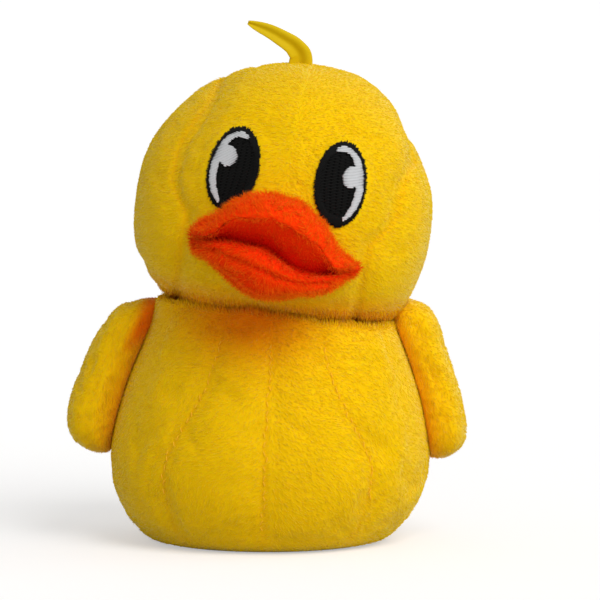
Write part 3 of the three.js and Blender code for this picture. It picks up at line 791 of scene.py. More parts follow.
# where the bag's cloth begins and ceases to be held: heights, shares of the way out from the head's
# middle, and shares of the way round to the side
BASE_SEWN_HEIGHTS = (0.002, 0.007)
HEAD_SEWN_SHARES = (1.02, 1.06)
WING_SEWN_SIDES = (0.85, 0.95)
WING_SEWN_HEIGHTS = (0.02, 0.026)
SHOULDER_RISE = 0.0034
SHOULDER_HEIGHT = 0.0725
SHOULDER_SPREAD = 0.008
NECK_DRAW = 0.0012
NECK_DRAW_SPREAD = 0.06
BODY_NAP = (0.8, 0, -0.6)
# painted shade on the body's pile: along its seams, near and in the joint, and on the chest below the bill,
# with the bill's orange in it as a painted reflection
BODY_SEAM_PAINTED_SHADE = 0.1
BODY_JOINT_PAINTED_SHADE = 0.3
BELOW_BILL_PAINTED_SHADE = 0.85
BODY_FURROW_DEPTH = 0.0004
BODY_FURROW_SPREAD = 0.0012
body_shape = bmesh.new()
bmesh.ops.create_uvsphere(body_shape, u_segments=240, v_segments=130, radius=1)
body = piece_of("body_skin", body_shape, "body")
body_start = body_skin(unit(vertex_places(body.data)), -PILE_DEPTH)
put(body, sink_below_head(body_start)[0])
stuffed(body, CLOTH_STEP, fit_body, body_sewn, spare=0.02, most=0.0014)
body_places = vertex_places(body.data)
furrow_here = smooth_between(body_places[:, 2], 0.003, 0.008)
draw_in(body, body_seam_away(body_places), BODY_FURROW_DEPTH * furrow_here, BODY_FURROW_SPREAD)
body_places, under_head = sink_below_head(vertex_places(body.data))
put(body, body_places)
body.data.materials.append(yellow_plush)
body_normals = vertex_normals(body.data)
body_wanted = combed(np.sign(body_places[:, 0] - 0.001), BODY_NAP)
body_nap = tangent(body_normals, body_wanted + brushed(body_places, 8, 0.02, NAP_WANDER))
under_neck = head_share_at(body_places, 0)
at_joint = 1 - smooth_between(under_neck, 1.03, 1.08)
upwards = tangent(body_normals, np.array([[0, 0, 1.0]]))
body_nap += (BODY_JOINT_NAP * upwards - body_nap) * at_joint[:, None]
near_joint = JOINT_LIGHT * (1 - smooth_between(under_neck, 1.02, 1.14))[:, None]
body_light = unit(body_normals * (1 - near_joint) + upright(body_places) * near_joint)
body_share = (~under_head & (body_places[:, 2] > 0.001)).astype(float)
body_share *= 1 + BODY_JOINT_EXTRA * at_joint
in_front = body_places[:, 1] < 0
# where the painted shade and reflected orange lie on the chest below the bill
below_bill = ((body_places[:, 0] + 0.005) / 0.018) ** 2 + ((body_places[:, 2] - 0.067) / 0.011) ** 2
body_painted_shade = np.maximum.reduce([
    BODY_SEAM_PAINTED_SHADE * np.exp(-body_seam_away(body_places) / SEAM_PAINTED_SHADE_SPREAD),
    BODY_JOINT_PAINTED_SHADE * (1 - smooth_between(under_neck, 1.0, 1.1)),
    JOINT_PAINTED_SHADE * np.exp(-np.maximum(under_neck - 1, 0) / 0.02),
    BELOW_BILL_PAINTED_SHADE * np.exp(-below_bill) * in_front,
])
for name, half, seed in [("body_front_pile", in_front, 21), ("body_back_pile", ~in_front, 25)]:
    grow_yellow(body, name, body_nap, body_light, body_share * half, body_painted_shade, seed)

# Wings: two flat stuffed paddles of the same plush, each of two layers sewn round the edge. They
# are sewn on at the shoulders, hang beside the body and lean on it.
WING_ROOT_RISE = 0.0015
WING_HALF_WIDTH = 0.014
WING_ROOT_WIDTH_SHARE = 0.72
WING_HALF_THICKNESS = 0.0086
WING_BACKWARD = 0.002
WING_TURN = math.radians(12)
WING_SEAM_DEPTH = 0.0007
WING_SEAM_SPREAD = 0.22  # in radians round the wing's edge
WING_SEWN_SPREAD = 0.0015
WING_CLOTH_STEP = 0.0012
SHOULDER_WIDTH_SHARE = 0.2
WING_NAP = (0.3, 0.5, -0.8)
# painted shade: how much orange shade is painted on the pile where the wing leans on the body, and how far it
# spreads
WING_PAINTED_SHADE = 0.6  # how orange the pile is where the wing leans on the body
WING_PAINTED_SHADE_SPREAD = 0.0035
# each wing's side, length, bluntness of its root and tip, press on the body and shoulder
WINGS = {
    "left_wing": (-1, 0.0448, 8, 4, 0.0033, -0.0004),
    "right_wing": (1, 0.0462, 7, 7, 0.0068, 0.0026),
}


def wing_skin(directions, name, offset):
    side, length, root_bluntness, tip_bluntness, press, shoulder = WINGS[name]
    share = (1 - directions[:, 2]) / 2
    height = NECK_HEIGHT + WING_ROOT_RISE - length * share
    bluntness = np.where(share < 0.5, root_bluntness, tip_bluntness)
    ends = np.maximum(0, 1 - np.abs(2 * share - 1) ** bluntness) ** 0.5
    half_thickness = WING_HALF_THICKNESS * ends
    half_width = WING_HALF_WIDTH * ends * (WING_ROOT_WIDTH_SHARE + (1 - WING_ROOT_WIDTH_SHARE) * share)
    raised = shoulder * np.exp(-((share / SHOULDER_WIDTH_SHARE) ** 2))
    away = SEAM_GAP + half_thickness - press * ends + raised
    x = body_middle(height) + side * (body_radius(height) + away)
    turn = np.arctan2(directions[:, 1], directions[:, 0])
    from_edge = np.abs(np.abs(turn) - math.pi / 2)
    pinch = WING_SEAM_DEPTH * np.exp(-from_edge / WING_SEAM_SPREAD) * ends
    across = np.maximum(half_thickness + offset, 0) * np.cos(turn)
    along = np.maximum(half_width + offset - pinch, 0) * np.sin(turn)
    return np.column_stack([
        x + across * math.cos(WING_TURN) - side * along * math.sin(WING_TURN),
        WING_BACKWARD + along * math.cos(WING_TURN) + side * across * math.sin(WING_TURN),
        height,
    ])


def push_off_body(places, gap):
    """Moves points that lie inside the body level out of it"""
    height = places[:, 2]
    across, along = seen_from_above(places, height)
    now = np.hypot(across, along)
    least = body_radius(height) + gap
    more = np.maximum(1, least / np.maximum(now, 1e-6))
    pushed = np.column_stack([body_middle(height) + across * more, along * more * BODY_DEPTH_SHARE, height])
    return pushed, now < least


def wing_seam_away(places, side):
    """How far points of a wing lie from the seam round its edge"""
    height = places[:, 2]
    x = body_middle(height) + side * body_radius(height)
    dx = (places[:, 0] - x) * side
    dy = places[:, 1] - WING_BACKWARD
    across = dx * math.cos(WING_TURN) + dy * math.sin(WING_TURN)
    return np.abs(across - WING_HALF_THICKNESS * 0.8)


for name, seed in [("left_wing", 31), ("right_wing", 41)]:
    side_of_body = WINGS[name][0]
    wing_shape = bmesh.new()
    bmesh.ops.create_uvsphere(wing_shape, u_segments=72, v_segments=56, radius=1)
    wing = piece_of(f"{name}_skin", wing_shape, name)
    wing_places = wing_skin(unit(vertex_places(wing.data)), name, -PILE_DEPTH - SLACK / 2)
    put(wing, wing_places)

    def fit_wing(places):
        return sink_below_head(push_off_body(places, SKIN_GAP)[0])[0]

    def wing_sewn(places):
        at_edge = np.exp(-((wing_seam_away(places, side_of_body) / WING_SEWN_SPREAD) ** 2))
        on_body = push_off_body(places, SEAM_GAP)[1]
        return np.clip(np.maximum(at_edge, on_body), 0, 1)

    stuffed(wing, WING_CLOTH_STEP, fit_wing, wing_sewn, spare=0.03, most=0.0012)
    wing_places, on_body = push_off_body(vertex_places(wing.data), SKIN_GAP)
    wing_places, under_head = sink_below_head(wing_places)
    put(wing, wing_places)
    wing.data.materials.append(yellow_plush)
    wing_normals = vertex_normals(wing.data)
    wing_wanted = combed(np.full(len(wing_places), side_of_body), WING_NAP)
    wing_nap = tangent(wing_normals, wing_wanted + brushed(wing_places, 9, 0.015, NAP_WANDER))
    from_body = np.hypot(*seen_from_above(wing_places, wing_places[:, 2])) - body_radius(wing_places[:, 2])
    # orange shade painted on the wing's pile where it leans on the body, and on the left wing's shoulder
    # beside the body
    wing_painted_shade = WING_PAINTED_SHADE * np.exp(-np.maximum(from_body, 0) / WING_PAINTED_SHADE_SPREAD)
    at_shoulder = smooth_between(wing_places[:, 2], 0.05, 0.062) * (side_of_body < 0)
    wing_painted_shade = np.maximum(wing_painted_shade, at_shoulder * (1 - smooth_between(from_body, 0.003, 0.008)))
    wing_share = (~on_body & ~under_head).astype(float)
    grow_yellow(wing, f"{name}_pile", wing_nap, wing_normals, wing_share, wing_painted_shade, seed)

# Bill: two padded halves of orange plush round an open mouth. The upper half is thick and arched
# and overhangs a red lining, the lower one is a rolled lip, and both are sewn to the face.
UPPER_BILL_MIDDLE = 0.0005
UPPER_BILL_HALF_WIDTH = 0.0249
LOWER_BILL_HALF_WIDTH = 0.0242
UPPER_BILL_REACH = 0.019
UPPER_BILL_BULGE = 0.0012
LOWER_BILL_REACH = 0.017
MOUTH_REACH = 0.009
LINING_THICKNESS = 0.001
LINING_MIDDLE = -0.0008
LINING_HALF_WIDTH = 0.0188
BILL_PILE_DEPTH = 0.0008
BILL_CLOTH_STEP = 0.0011
MOUTH_SEWN_HEIGHTS = (0.0008, 0.0025)
FACE_SEWN_HEIGHTS = (0.0008, 0.002)
STITCH_CLEARANCE = 0.0012  # the bill keeps this much further off where it passes over an eye
STITCH_MARGIN = 0.0006
LIP_SEAM_SHARE = 0.4
LIP_SEAM_DEPTH = 0.002
LIP_SEAM_SPREAD = 0.0011
# lines across the bill in the head's frame: its top, where the halves meet, its bottom, and the
# upper half's lower edge above the lining
BILL_TOP = [
    (-0.0255, -0.0046), (-0.0215, -0.003), (-0.0174, -0.0002), (-0.0128, 0.0033), (-0.0092, 0.0056),
    (-0.005, 0.0068), (0.0001, 0.007), (0.0047, 0.0066), (0.0089, 0.0047), (0.0127, 0.0015),
    (0.0152, -0.0014), (0.0182, -0.0046), (0.0215, -0.0066), (0.0255, -0.0078),
]
BILL_BOTTOM = [
    (-0.0255, -0.0114), (-0.021, -0.0136), (-0.0162, -0.015), (-0.0098, -0.0182), (-0.0053, -0.0205),
    (-0.0029, -0.0212), (0.0009, -0.0212), (0.0061, -0.0198), (0.0139, -0.0177), (0.0193, -0.0152),
    (0.0223, -0.0128), (0.0255, -0.0112),
]
MOUTH_LINE = [
    (-0.0255, -0.0088), (-0.02, -0.0084), (-0.015, -0.0072), (-0.008, -0.0069), (-0.002, -0.0073),
    (0.003, -0.0096), (0.0085, -0.012), (0.013, -0.0121), (0.016, -0.0116), (0.02, -0.0105),
    (0.0255, -0.0098),
]
PALATE_EDGE = [
    (-0.0205, -0.0084), (-0.0163, -0.0062), (-0.0126, -0.0026), (-0.0079, -0.0006), (-0.0035, 0.0001),
    (0.0015, -0.0002), (0.0052, -0.0013), (0.0099, -0.0034), (0.0139, -0.0063), (0.0169, -0.0093),
    (0.0188, -0.0112),
]


def between(one, other, share):
    return one + (other - one) * share


def curve_through(knots, x):
    """A smooth height through a few places across the bill"""
    across, height = np.array(knots).T
    slope = np.gradient(height, across)
    k = int(np.clip(np.searchsorted(across, x) - 1, 0, len(across) - 2))
    step = across[k + 1] - across[k]
    t = min(1, max(0, (x - across[k]) / step))
    return (
        (2 * t**3 - 3 * t**2 + 1) * height[k] + (t**3 - 2 * t**2 + t) * step * slope[k]
        + (3 * t**2 - 2 * t**3) * height[k + 1] + (t**3 - t**2) * step * slope[k + 1]
    )


def face_y(x, z):
    fullness = head_fullness(np.array([x]), np.array([z]))[0]
    return -HEAD_HALF_DEPTH * math.sqrt(max(0, 1 - fullness))


def bill_places(x):
    """The heights and depths that the bill's cross-sections are drawn from"""
    span = max(0, 1 - (x / BILL_HALF_WIDTH) ** 2)
    reach = span**0.5
    face = face_y(x, -BILL_CORNER_DROP)
    mouth = curve_through(MOUTH_LINE, x)
    return {
        "face": face,
        "reach": reach,
        "mouth": mouth,
        "top": curve_through(BILL_TOP, x),
        "rim": max(curve_through(PALATE_EDGE, x), mouth + 0.0004),
        "bottom": curve_through(BILL_BOTTOM, x),
        "upper_rim_y": face - UPPER_BILL_REACH * reach,
        "mouth_y": face - MOUTH_REACH * reach,
        "lower_rim_y": face - LOWER_BILL_REACH * reach,
    }


def upper_bill_corners(x):
    at = bill_places(x)
    lined = smooth_between(LINING_HALF_WIDTH - abs(x - LINING_MIDDLE), 0, 0.003)
    under = at["mouth"] + LINING_THICKNESS * 1.3 * lined
    thick = at["top"] - at["rim"]
    face, rim_y = at["face"], at["upper_rim_y"]
    return [
        (face_y(x, at["top"]), at["top"]),
        (between(face, rim_y, 0.32), at["top"] + UPPER_BILL_BULGE * 0.35 * at["reach"]),
        (between(face, rim_y, 0.68), at["rim"] + thick * 0.66 + UPPER_BILL_BULGE * at["reach"]),
        (between(face, rim_y, 0.97), at["rim"] + thick * 0.3),
        (between(face, rim_y, 0.96), at["rim"] + thick * 0.05),
        (between(face, rim_y, 0.84), at["rim"] + LINING_THICKNESS * at["reach"]),
        (at["mouth_y"], under),
        (face_y(x, under), under),
        (face_y(x, between(under, at["top"], 0.5)), between(under, at["top"], 0.5)),
    ]


def lower_bill_corners(x):
    at = bill_places(x)
    mouth = at["mouth"] - SEAM_GAP
    return [
        (face_y(x, mouth), mouth),
        (at["mouth_y"], mouth),
        (between(at["mouth_y"], at["lower_rim_y"], 0.6), between(mouth, at["bottom"], 0.06)),
        (between(at["mouth_y"], at["lower_rim_y"], 0.95), between(mouth, at["bottom"], 0.22)),
        (at["lower_rim_y"], between(mouth, at["bottom"], LIP_SEAM_SHARE)),
        (between(at["face"], at["lower_rim_y"], 0.86), between(mouth, at["bottom"], 0.76)),
        (between(at["face"], at["lower_rim_y"], 0.45), between(mouth, at["bottom"], 0.99)),
        (face_y(x, at["bottom"]), at["bottom"]),
        (face_y(x, between(mouth, at["bottom"], 0.5)), between(mouth, at["bottom"], 0.5)),
    ]


def lining_corners(x):
    at = bill_places(x)
    front = between(at["face"], at["upper_rim_y"], 0.87)
    under = [
        (front, at["rim"] + SEAM_GAP),
        (between(front, at["mouth_y"], 0.5), between(at["rim"], at["mouth"], 0.52)),
        (at["mouth_y"], at["mouth"]),
        (face_y(x, at["mouth"]), at["mouth"]),
    ]
    return under + [(y, z + LINING_THICKNESS) for y, z in reversed(under)]


def smooth_outline(corners, count):
    """A closed curve through a few corners, cut into even steps"""
    points = np.array(corners)
    t = np.linspace(0, 1, 16, endpoint=False)[None, :, None]
    a, b, c, d = (np.roll(points, turn, 0)[:, None, :] for turn in (1, 0, -1, -2))
    curve = 0.5 * (2 * b + (c - a) * t + (2 * a - 5 * b + 4 * c - d) * t**2 + (3 * b - a - 3 * c + d) * t**3)
    curve = curve.reshape(-1, 2)
    curve = np.vstack([curve, curve[:1]])
    steps = np.concatenate([[0], np.cumsum(np.hypot(*np.diff(curve, axis=0).T))])
    wanted = np.linspace(0, steps[-1], count, endpoint=False)
    return np.column_stack([np.interp(wanted, steps, curve[:, k]) for k in (0, 1)])


BILL_TURNS = 72
BILL_STATIONS = 64
BILL_BLUNTNESS = 16  # the higher, the later a part closes towards its ends
LINING_BLUNTNESS = 8


def bill_skin(piece, corners, middle_x, half_width, bluntness, inset):
    """Lays a ball's rings along the bill from corner to corner, each on its own cross-section"""
    places = unit(vertex_places(piece.data))
    along = np.round(np.arccos(np.clip(-places[:, 2], -1, 1)) / math.pi * BILL_STATIONS).astype(int)
    turn = np.arctan2(places[:, 1], places[:, 0]) / (2 * math.pi) * BILL_TURNS
    turn = np.round(turn).astype(int) % BILL_TURNS
    laid = np.zeros_like(places)
    for station in range(BILL_STATIONS + 1):
        share = -math.cos(math.pi * station / BILL_STATIONS)
        roundness = math.sqrt(max(0, 1 - abs(share) ** bluntness))
        x = middle_x + share * half_width
        outline = smooth_outline(corners(x), BILL_TURNS)
        meeting = np.array([outline[:, 0].mean(), bill_places(x)["mouth"]])
        centre = between(meeting, outline.mean(0), roundness)
        away = outline - outline.mean(0)
        size = np.maximum(np.hypot(*away.T), 1e-9)[:, None]
        here = along == station
        from_mouth = smooth_between(np.abs(outline[:, 1:] - meeting[1]), 0.0005, 0.004)
        ring = centre + away * roundness * np.maximum(1 - inset * from_mouth / size, 0)
        laid[here, 0] = x
        laid[here, 1:] = ring[turn[here]]
    return laid


def in_front_of_face(local, gap):
    """Moves points of the head's frame that lie under the face's skin forward onto it"""
    moved = local.copy()
    for _ in range(12):
        least = np.linalg.norm(head_skin(unit(moved), gap), axis=1)
        moved[:, 1] -= np.maximum(0, least - np.linalg.norm(moved, axis=1))
    return moved


def off_the_face(places):
    """How far points stand in front of the face's skin"""
    return np.linalg.norm(places, axis=1) - np.linalg.norm(head_skin(unit(places), 0), axis=1)


def fit_bill(places):
    local = turned(places, head_turned.inverted())
    gap = SEAM_GAP + STITCH_CLEARANCE * inside_eye(local, STITCH_MARGIN)
    return turned(in_front_of_face(local, gap), head_turned)


def bill_sewn(places):
    """The halves are sewn along the mouth and round the face's edge of each"""
    local = turned(places, head_turned.inverted())
    mouth = np.array([curve_through(MOUTH_LINE, x) for x in local[:, 0]])
    at_mouth = 1 - smooth_between(np.abs(local[:, 2] - mouth), *MOUTH_SEWN_HEIGHTS)
    at_face = 1 - smooth_between(off_the_face(local), *FACE_SEWN_HEIGHTS)
    return np.maximum(at_mouth, at_face)


BILL_PILE = {
    "per_area": 4.2e6, "length": 0.0021, "width": 0.00019, "lean": math.radians(50), "stray": 0.42,
    "own_light": 0.35,
}
LINING_PILE = {
    "per_area": 4.0e6, "length": 0.0012, "width": 0.0002, "lean": math.radians(50), "stray": 0.35,
    "own_light": 0.3,
}
BILL_NAP_WANDER = 0.6
# painted shade: how far the deeper shade painted on the lining and at the mouth spreads from the mouth line,
# and how much lies in the lower lip's seam and how wide
LINING_PAINTED_SHADE_SPREAD = 0.007
MOUTH_PAINTED_SHADE_SPREAD = 0.002
LIP_SEAM_PAINTED_SHADE = 0.6
LIP_SEAM_PAINTED_SHADE_SPREAD = 0.0008
# the third colour of each plush is its darker painted shade, the fourth its paler painted sheen
orange_plush = plush_material(
    "orange plush", root=(0.97, 0.042, 0.0006), tip=(1, 0.1, 0.002), painted_shade=(0.85, 0.014, 0.0004),
    painted_sheen_colour=(1, 0.24, 0.03), patchiness=0.14, painted_sheen_share=0.6,
)
red_plush = plush_material(
    "red plush", root=(0.97, 0.03, 0.0006), tip=(1, 0.06, 0.001), painted_shade=(0.7, 0.0016, 0.0008),
    painted_sheen_colour=(1, 0.1, 0.01), patchiness=0.1, painted_sheen_share=0.4,
)
# each part's cross-section, middle, half width, finish, plush, pile, nap's rise and random seed
BILL_PARTS = {
    "upper_bill": (
        upper_bill_corners, UPPER_BILL_MIDDLE, UPPER_BILL_HALF_WIDTH, "orange_plush", orange_plush, BILL_PILE,
        0.7, 51,
    ),
    "lower_bill": (
        lower_bill_corners, 0, LOWER_BILL_HALF_WIDTH, "orange_plush", orange_plush, BILL_PILE, -0.7, 61,
    ),
    "mouth_lining": (
        lining_corners, LINING_MIDDLE, LINING_HALF_WIDTH, "red_lining", red_plush, LINING_PILE, -0.4, 71,
    ),
}
for name, (corners, middle_x, half_width, slot_name, material, kind, lift, seed) in BILL_PARTS.items():
    bill_shape = bmesh.new()
    bmesh.ops.create_uvsphere(bill_shape, u_segments=BILL_TURNS, v_segments=BILL_STATIONS, radius=1)
    bill = piece_of(f"{name}_skin", bill_shape, name)
    lined = name == "mouth_lining"
    bluntness, inset = (LINING_BLUNTNESS, 0) if lined else (BILL_BLUNTNESS, BILL_PILE_DEPTH)
    bill_local = bill_skin(bill, corners, middle_x, half_width, bluntness, inset)
    put(bill, fit_bill(turned(bill_local, head_turned)))
    bill_mesh = bmesh.new()
    bill_mesh.from_mesh(bill.data)
    bmesh.ops.recalc_face_normals(bill_mesh, faces=bill_mesh.faces)
    bill_mesh.to_mesh(bill.data)
    bill_mesh.free()
    if not lined:
        stuffed(bill, BILL_CLOTH_STEP, fit_bill, bill_sewn, spare=0.03, most=0.0008)
    if name == "lower_bill":
        lip = np.array([(x, *lower_bill_corners(x)[4]) for x in np.linspace(-half_width, half_width, 90)])
        lip_local = turned(vertex_places(bill.data), head_turned.inverted())
        away = np.min(np.linalg.norm(lip_local[:, None, :] - lip[None, :, :], axis=2), axis=1)
        draw_in(bill, away, LIP_SEAM_DEPTH, LIP_SEAM_SPREAD)
    put(bill, fit_bill(vertex_places(bill.data)))
    bill_local = turned(vertex_places(bill.data), head_turned.inverted())
    bill.data.materials.clear()
    bill.data.materials.append(material)
    bill_normals = vertex_normals(bill.data)
    # the pile is combed out from the bill's middle and away from the mouth
    share_across = bill_local[:, 0] / BILL_HALF_WIDTH
    bill_wanted = turned(combed(share_across, (1.1, -0.5, lift)), head_turned.to_3x3().to_4x4())
    bill_nap = tangent(bill_normals, bill_wanted + brushed(bill_local, seed, 0.006, BILL_NAP_WANDER))
    mouth_height = np.array([curve_through(MOUTH_LINE, x) for x in bill_local[:, 0]])
    to_mouth = np.abs(bill_local[:, 2] - mouth_height)
    # deeper shade painted on the pile towards the mouth line, and in the lower lip's seam
    if lined:
        bill_painted_shade = 1 - smooth_between(to_mouth, 0, LINING_PAINTED_SHADE_SPREAD)
    else:
        bill_painted_shade = np.exp(-((to_mouth / MOUTH_PAINTED_SHADE_SPREAD) ** 2))
    if name == "lower_bill":
        in_lip_seam = np.exp(-((away / LIP_SEAM_PAINTED_SHADE_SPREAD) ** 2))
        bill_painted_shade = np.maximum(bill_painted_shade, LIP_SEAM_PAINTED_SHADE * in_lip_seam)
    bill_share = (off_the_face(bill_local) > BILL_PILE_DEPTH).astype(float)
    grow_pile(
        bill, f"{name}_pile", bill_nap, bill_normals, bill_share, bill_painted_shade, kind, seed, material,
    )

# Eyes: embroidered through the face panel in black thread, a filled oval of level rows inside a
# ring of short stitches laid outwards, with a crescent and a spot of white rows stitched on top.
# The face's backing is black beneath them.
THREAD_PITCH = 0.00042
THREAD_WIDTH = 0.0005
THREAD_HEIGHT = 0.00036
FILLING_LIFT = -0.0001  # how far each layer of stitches lies above the face
RIM_LIFT = 0.00012
SHINE_LIFT = 0.0003
ROW_STITCH = 0.0036
RIM_STITCH = 0.0019
SHORTEST_STITCH = 0.0004
RIM_LOOSENESS = 0.035  # how unevenly the stitches end, as shares of the eye
SHINE_LOOSENESS = 0.02
BRICK_SHIFT = 0.25  # how far the ends of a row's stitches are shifted from row to row
EYE_FILLED = 0.95  # share of the eye that the level rows fill
CRESCENT_OUTER = 0.87
# the crescent's thickness at angles round the eye, level outwards being 0 and up being 90
CRESCENT_ANGLES = [-79, -60, -30, 0, 40, 65, 90, 112]
CRESCENT_THICKNESS = [0.08, 0.2, 0.29, 0.34, 0.28, 0.17, 0.12, 0.11]
# the spot beside it: how far out and up its middle is, and its half sizes
SPOTS = {"left_eye": (0.3, 0.25, 0.38, 0.24), "right_eye": (0.34, 0.17, 0.33, 0.25)}
eye_random = np.random.default_rng(5)


def thread_material(name, colour, roughness, gloss=0.1):
    """A plain finish for thread, and for the tuft's satin"""
    material = bpy.data.materials.new(name)
    material.use_nodes = True
    shader = material.node_tree.nodes["Principled BSDF"]
    shader.inputs["Base Color"].default_value = (*colour, 1)
    shader.inputs["Roughness"].default_value = roughness
    shader.inputs["Specular IOR Level"].default_value = gloss
    return material


def eye_place(side, across, along):
    """A point of the face from shares of an eye's half width, outwards, and half height, upwards"""
    lean = -side * EYE_LEAN
    u = side * across * EYE_HALF_WIDTH
    w = along * EYE_HALF_HEIGHT
    x = side * EYE_SPACING / 2 + u * math.cos(lean) + w * math.sin(lean)
    z = EYE_RISE + (RIGHT_EYE_LIFT if side > 0 else 0) - u * math.sin(lean) + w * math.cos(lean)
    return x, z


def on_face(ends, lift):
    """Points of the face, raised, from places across and up in the head's frame"""
    flat = np.array(ends).reshape(-1, 2)
    deep = -HEAD_HALF_DEPTH * np.sqrt(np.maximum(0, 1 - head_fullness(flat[:, 0], flat[:, 1])))
    directions = unit(np.column_stack([flat[:, 0], deep, flat[:, 1]]))
    return head_skin(directions, lift)


def lay_threads(name, starts, ends, outwards, width, height, node, material):
    """Stitches: slender rods with rounded ends, each laid from its start to its end"""
    rod_shape = bmesh.new()
    bmesh.ops.create_uvsphere(rod_shape, u_segments=6, v_segments=5, radius=1)
    for vert in rod_shape.verts:
        girth = math.hypot(vert.co.x, vert.co.y)
        if girth > 1e-5:
            fuller = girth**0.45 / girth
            vert.co.x *= fuller * width / 2
            vert.co.y *= fuller * height / 2
    rod_mesh = bpy.data.meshes.new("rod")
    rod_shape.to_mesh(rod_mesh)
    rod_shape.free()
    rod_mesh.polygons.foreach_set("use_smooth", np.ones(len(rod_mesh.polygons), bool))
    rod = bpy.data.objects.new("rod", rod_mesh)
    bpy.context.scene.collection.objects.link(rod)
    middles = bmesh.new()
    for place in (starts + ends) / 2:
        middles.verts.new(place)
    stitches = piece_of(name, middles, node)
    run = ends - starts
    lengths = np.linalg.norm(run, axis=1)
    keep_on(stitches.data, {"run": unit(run), "out": outwards, "half": lengths / 2})
    tree, middles_in, laid_out = geometry_tree(f"{name} laid")
    turn = node_in(tree, "FunctionNodeAxesToRotation")
    turn.primary_axis = "Z"
    turn.secondary_axis = "Y"
    stretch = node_in(tree, "ShaderNodeCombineXYZ", {"X": 1, "Y": 1})
    tree.links.new(kept(tree, "run", "FLOAT_VECTOR"), turn.inputs["Primary Axis"])
    tree.links.new(kept(tree, "out", "FLOAT_VECTOR"), turn.inputs["Secondary Axis"])
    tree.links.new(kept(tree, "half"), stretch.inputs["Z"])
    source = node_in(tree, "GeometryNodeObjectInfo", {"Object": rod})
    points = node_in(tree, "GeometryNodeMeshToPoints")
    plant = node_in(tree, "GeometryNodeInstanceOnPoints")
    real = node_in(tree, "GeometryNodeRealizeInstances")
    wire(
        tree,
        (middles_in, 0, points, "Mesh"), (points, "Points", plant, "Points"),
        (source, "Geometry", plant, "Instance"), (turn, "Rotation", plant, "Rotation"),
        (stretch, "Vector", plant, "Scale"), (plant, "Instances", real, "Geometry"),
        (real, "Geometry", laid_out, 0),
    )
    stitches.modifiers.new("laid", "NODES").node_group = tree
    apply_modifiers(stitches)
    bpy.data.objects.remove(rod)
    stitches.data.materials.clear()
    stitches.data.materials.append(material)


def rows_across(side, spans, longest):
    """Level rows of stitches, each cut into stitches no longer than the longest"""
    laid = []
    for row, (along, start, end) in enumerate(spans):
        width = (end - start) * EYE_HALF_WIDTH
        if width < SHORTEST_STITCH:
            continue
        count = max(1, math.ceil(width / longest))
        cuts = start + (end - start) * np.arange(count + 1) / count
        if count > 1:
            cuts[1:-1] += (BRICK_SHIFT if row % 2 else -BRICK_SHIFT) * (end - start) / count
        for one, other in zip(cuts, cuts[1:]):
            laid.append((eye_place(side, one, along), eye_place(side, other, along)))
    return laid


def stitch_face(name, laid, lift, node, material):
    starts = turned(on_face([one for one, _ in laid], lift), head_turned)
    ends = turned(on_face([other for _, other in laid], lift), head_turned)
    outwards = unit((starts + ends) / 2 - np.array(HEAD_PLACE))
    lay_threads(name, starts, ends, outwards, THREAD_WIDTH, THREAD_HEIGHT, node, material)


black_thread = thread_material("black thread", (0.0025, 0.0025, 0.0022), 0.7)
white_thread = thread_material("white thread", (0.6, 0.61, 0.62), 0.6)
head.data.materials.append(black_thread)
middles = np.empty(len(head.data.polygons) * 3)
head.data.polygons.foreach_get("center", middles)
behind_eye = inside_eye(turned(middles.reshape(-1, 3), head_turned.inverted()), -0.0005)
head.data.polygons.foreach_set("material_index", behind_eye.astype(np.int32))
for name, side in [("left_eye", -1), ("right_eye", 1)]:
    rows = np.arange(-0.94, 0.95, THREAD_PITCH / EYE_HALF_HEIGHT)
    spans = [(w, -EYE_FILLED * math.sqrt(1 - w * w), EYE_FILLED * math.sqrt(1 - w * w)) for w in rows]
    filling = rows_across(side, spans, ROW_STITCH)
    around = 2 * math.pi * math.sqrt((EYE_HALF_WIDTH**2 + EYE_HALF_HEIGHT**2) / 2)
    rim = []
    for turn in np.arange(0, 2 * math.pi, 2 * math.pi / round(around / THREAD_PITCH)):
        reach = np.array([1 - RIM_STITCH / EYE_HALF_WIDTH, 1.0])
        reach += eye_random.uniform(-RIM_LOOSENESS, RIM_LOOSENESS, 2)
        rim.append([eye_place(side, math.cos(turn) * k, math.sin(turn) * k) for k in reach])
    stitch_face(f"{name}_filling", filling, FILLING_LIFT, name, black_thread)
    stitch_face(f"{name}_rim", rim, RIM_LIFT, name, black_thread)
    spans = []
    out, up, half_width, half_height = SPOTS[name]
    for w in np.arange(-CRESCENT_OUTER, CRESCENT_OUTER, THREAD_PITCH / EYE_HALF_HEIGHT):
        x = np.linspace(-0.5, 0.9, 281)
        angle = np.degrees(np.arctan2(w, x))
        radius = np.hypot(x, w)
        thick = np.interp(angle, CRESCENT_ANGLES, CRESCENT_THICKNESS)
        white = (radius < CRESCENT_OUTER) & (radius > CRESCENT_OUTER - thick)
        white &= (angle > CRESCENT_ANGLES[0]) & (angle < CRESCENT_ANGLES[-1])
        white |= ((x - out) / half_width) ** 2 + ((w - up) / half_height) ** 2 < 1
        edges = np.flatnonzero(np.diff(np.concatenate([[False], white, [False]]).astype(int)))
        for first, last in zip(edges[::2], edges[1::2]):
            loose = eye_random.uniform(-SHINE_LOOSENESS, SHINE_LOOSENESS, 2)
            spans.append((w, x[first] + loose[0], x[last - 1] + loose[1]))
    shine = rows_across(side, spans, EYE_HALF_HEIGHT * 2)
    stitch_face(f"{name}_shine", shine, SHINE_LIFT, f"{name}_highlight", white_thread)

# Seam stitching: the orange thread of the body's three front seams, which shows between the pile
# as short slanting stitches laid over the seams' furrows.
SEAM_STITCH_STEP = 0.0022
SEAM_STITCH_LENGTH = 0.0016
SEAM_STITCH_WIDTH = 0.00028
SEAM_STITCH_LIFT = 0.00042
SEAM_STITCH_SLANT = 0.35
SLANT_LOOSENESS = 0.2
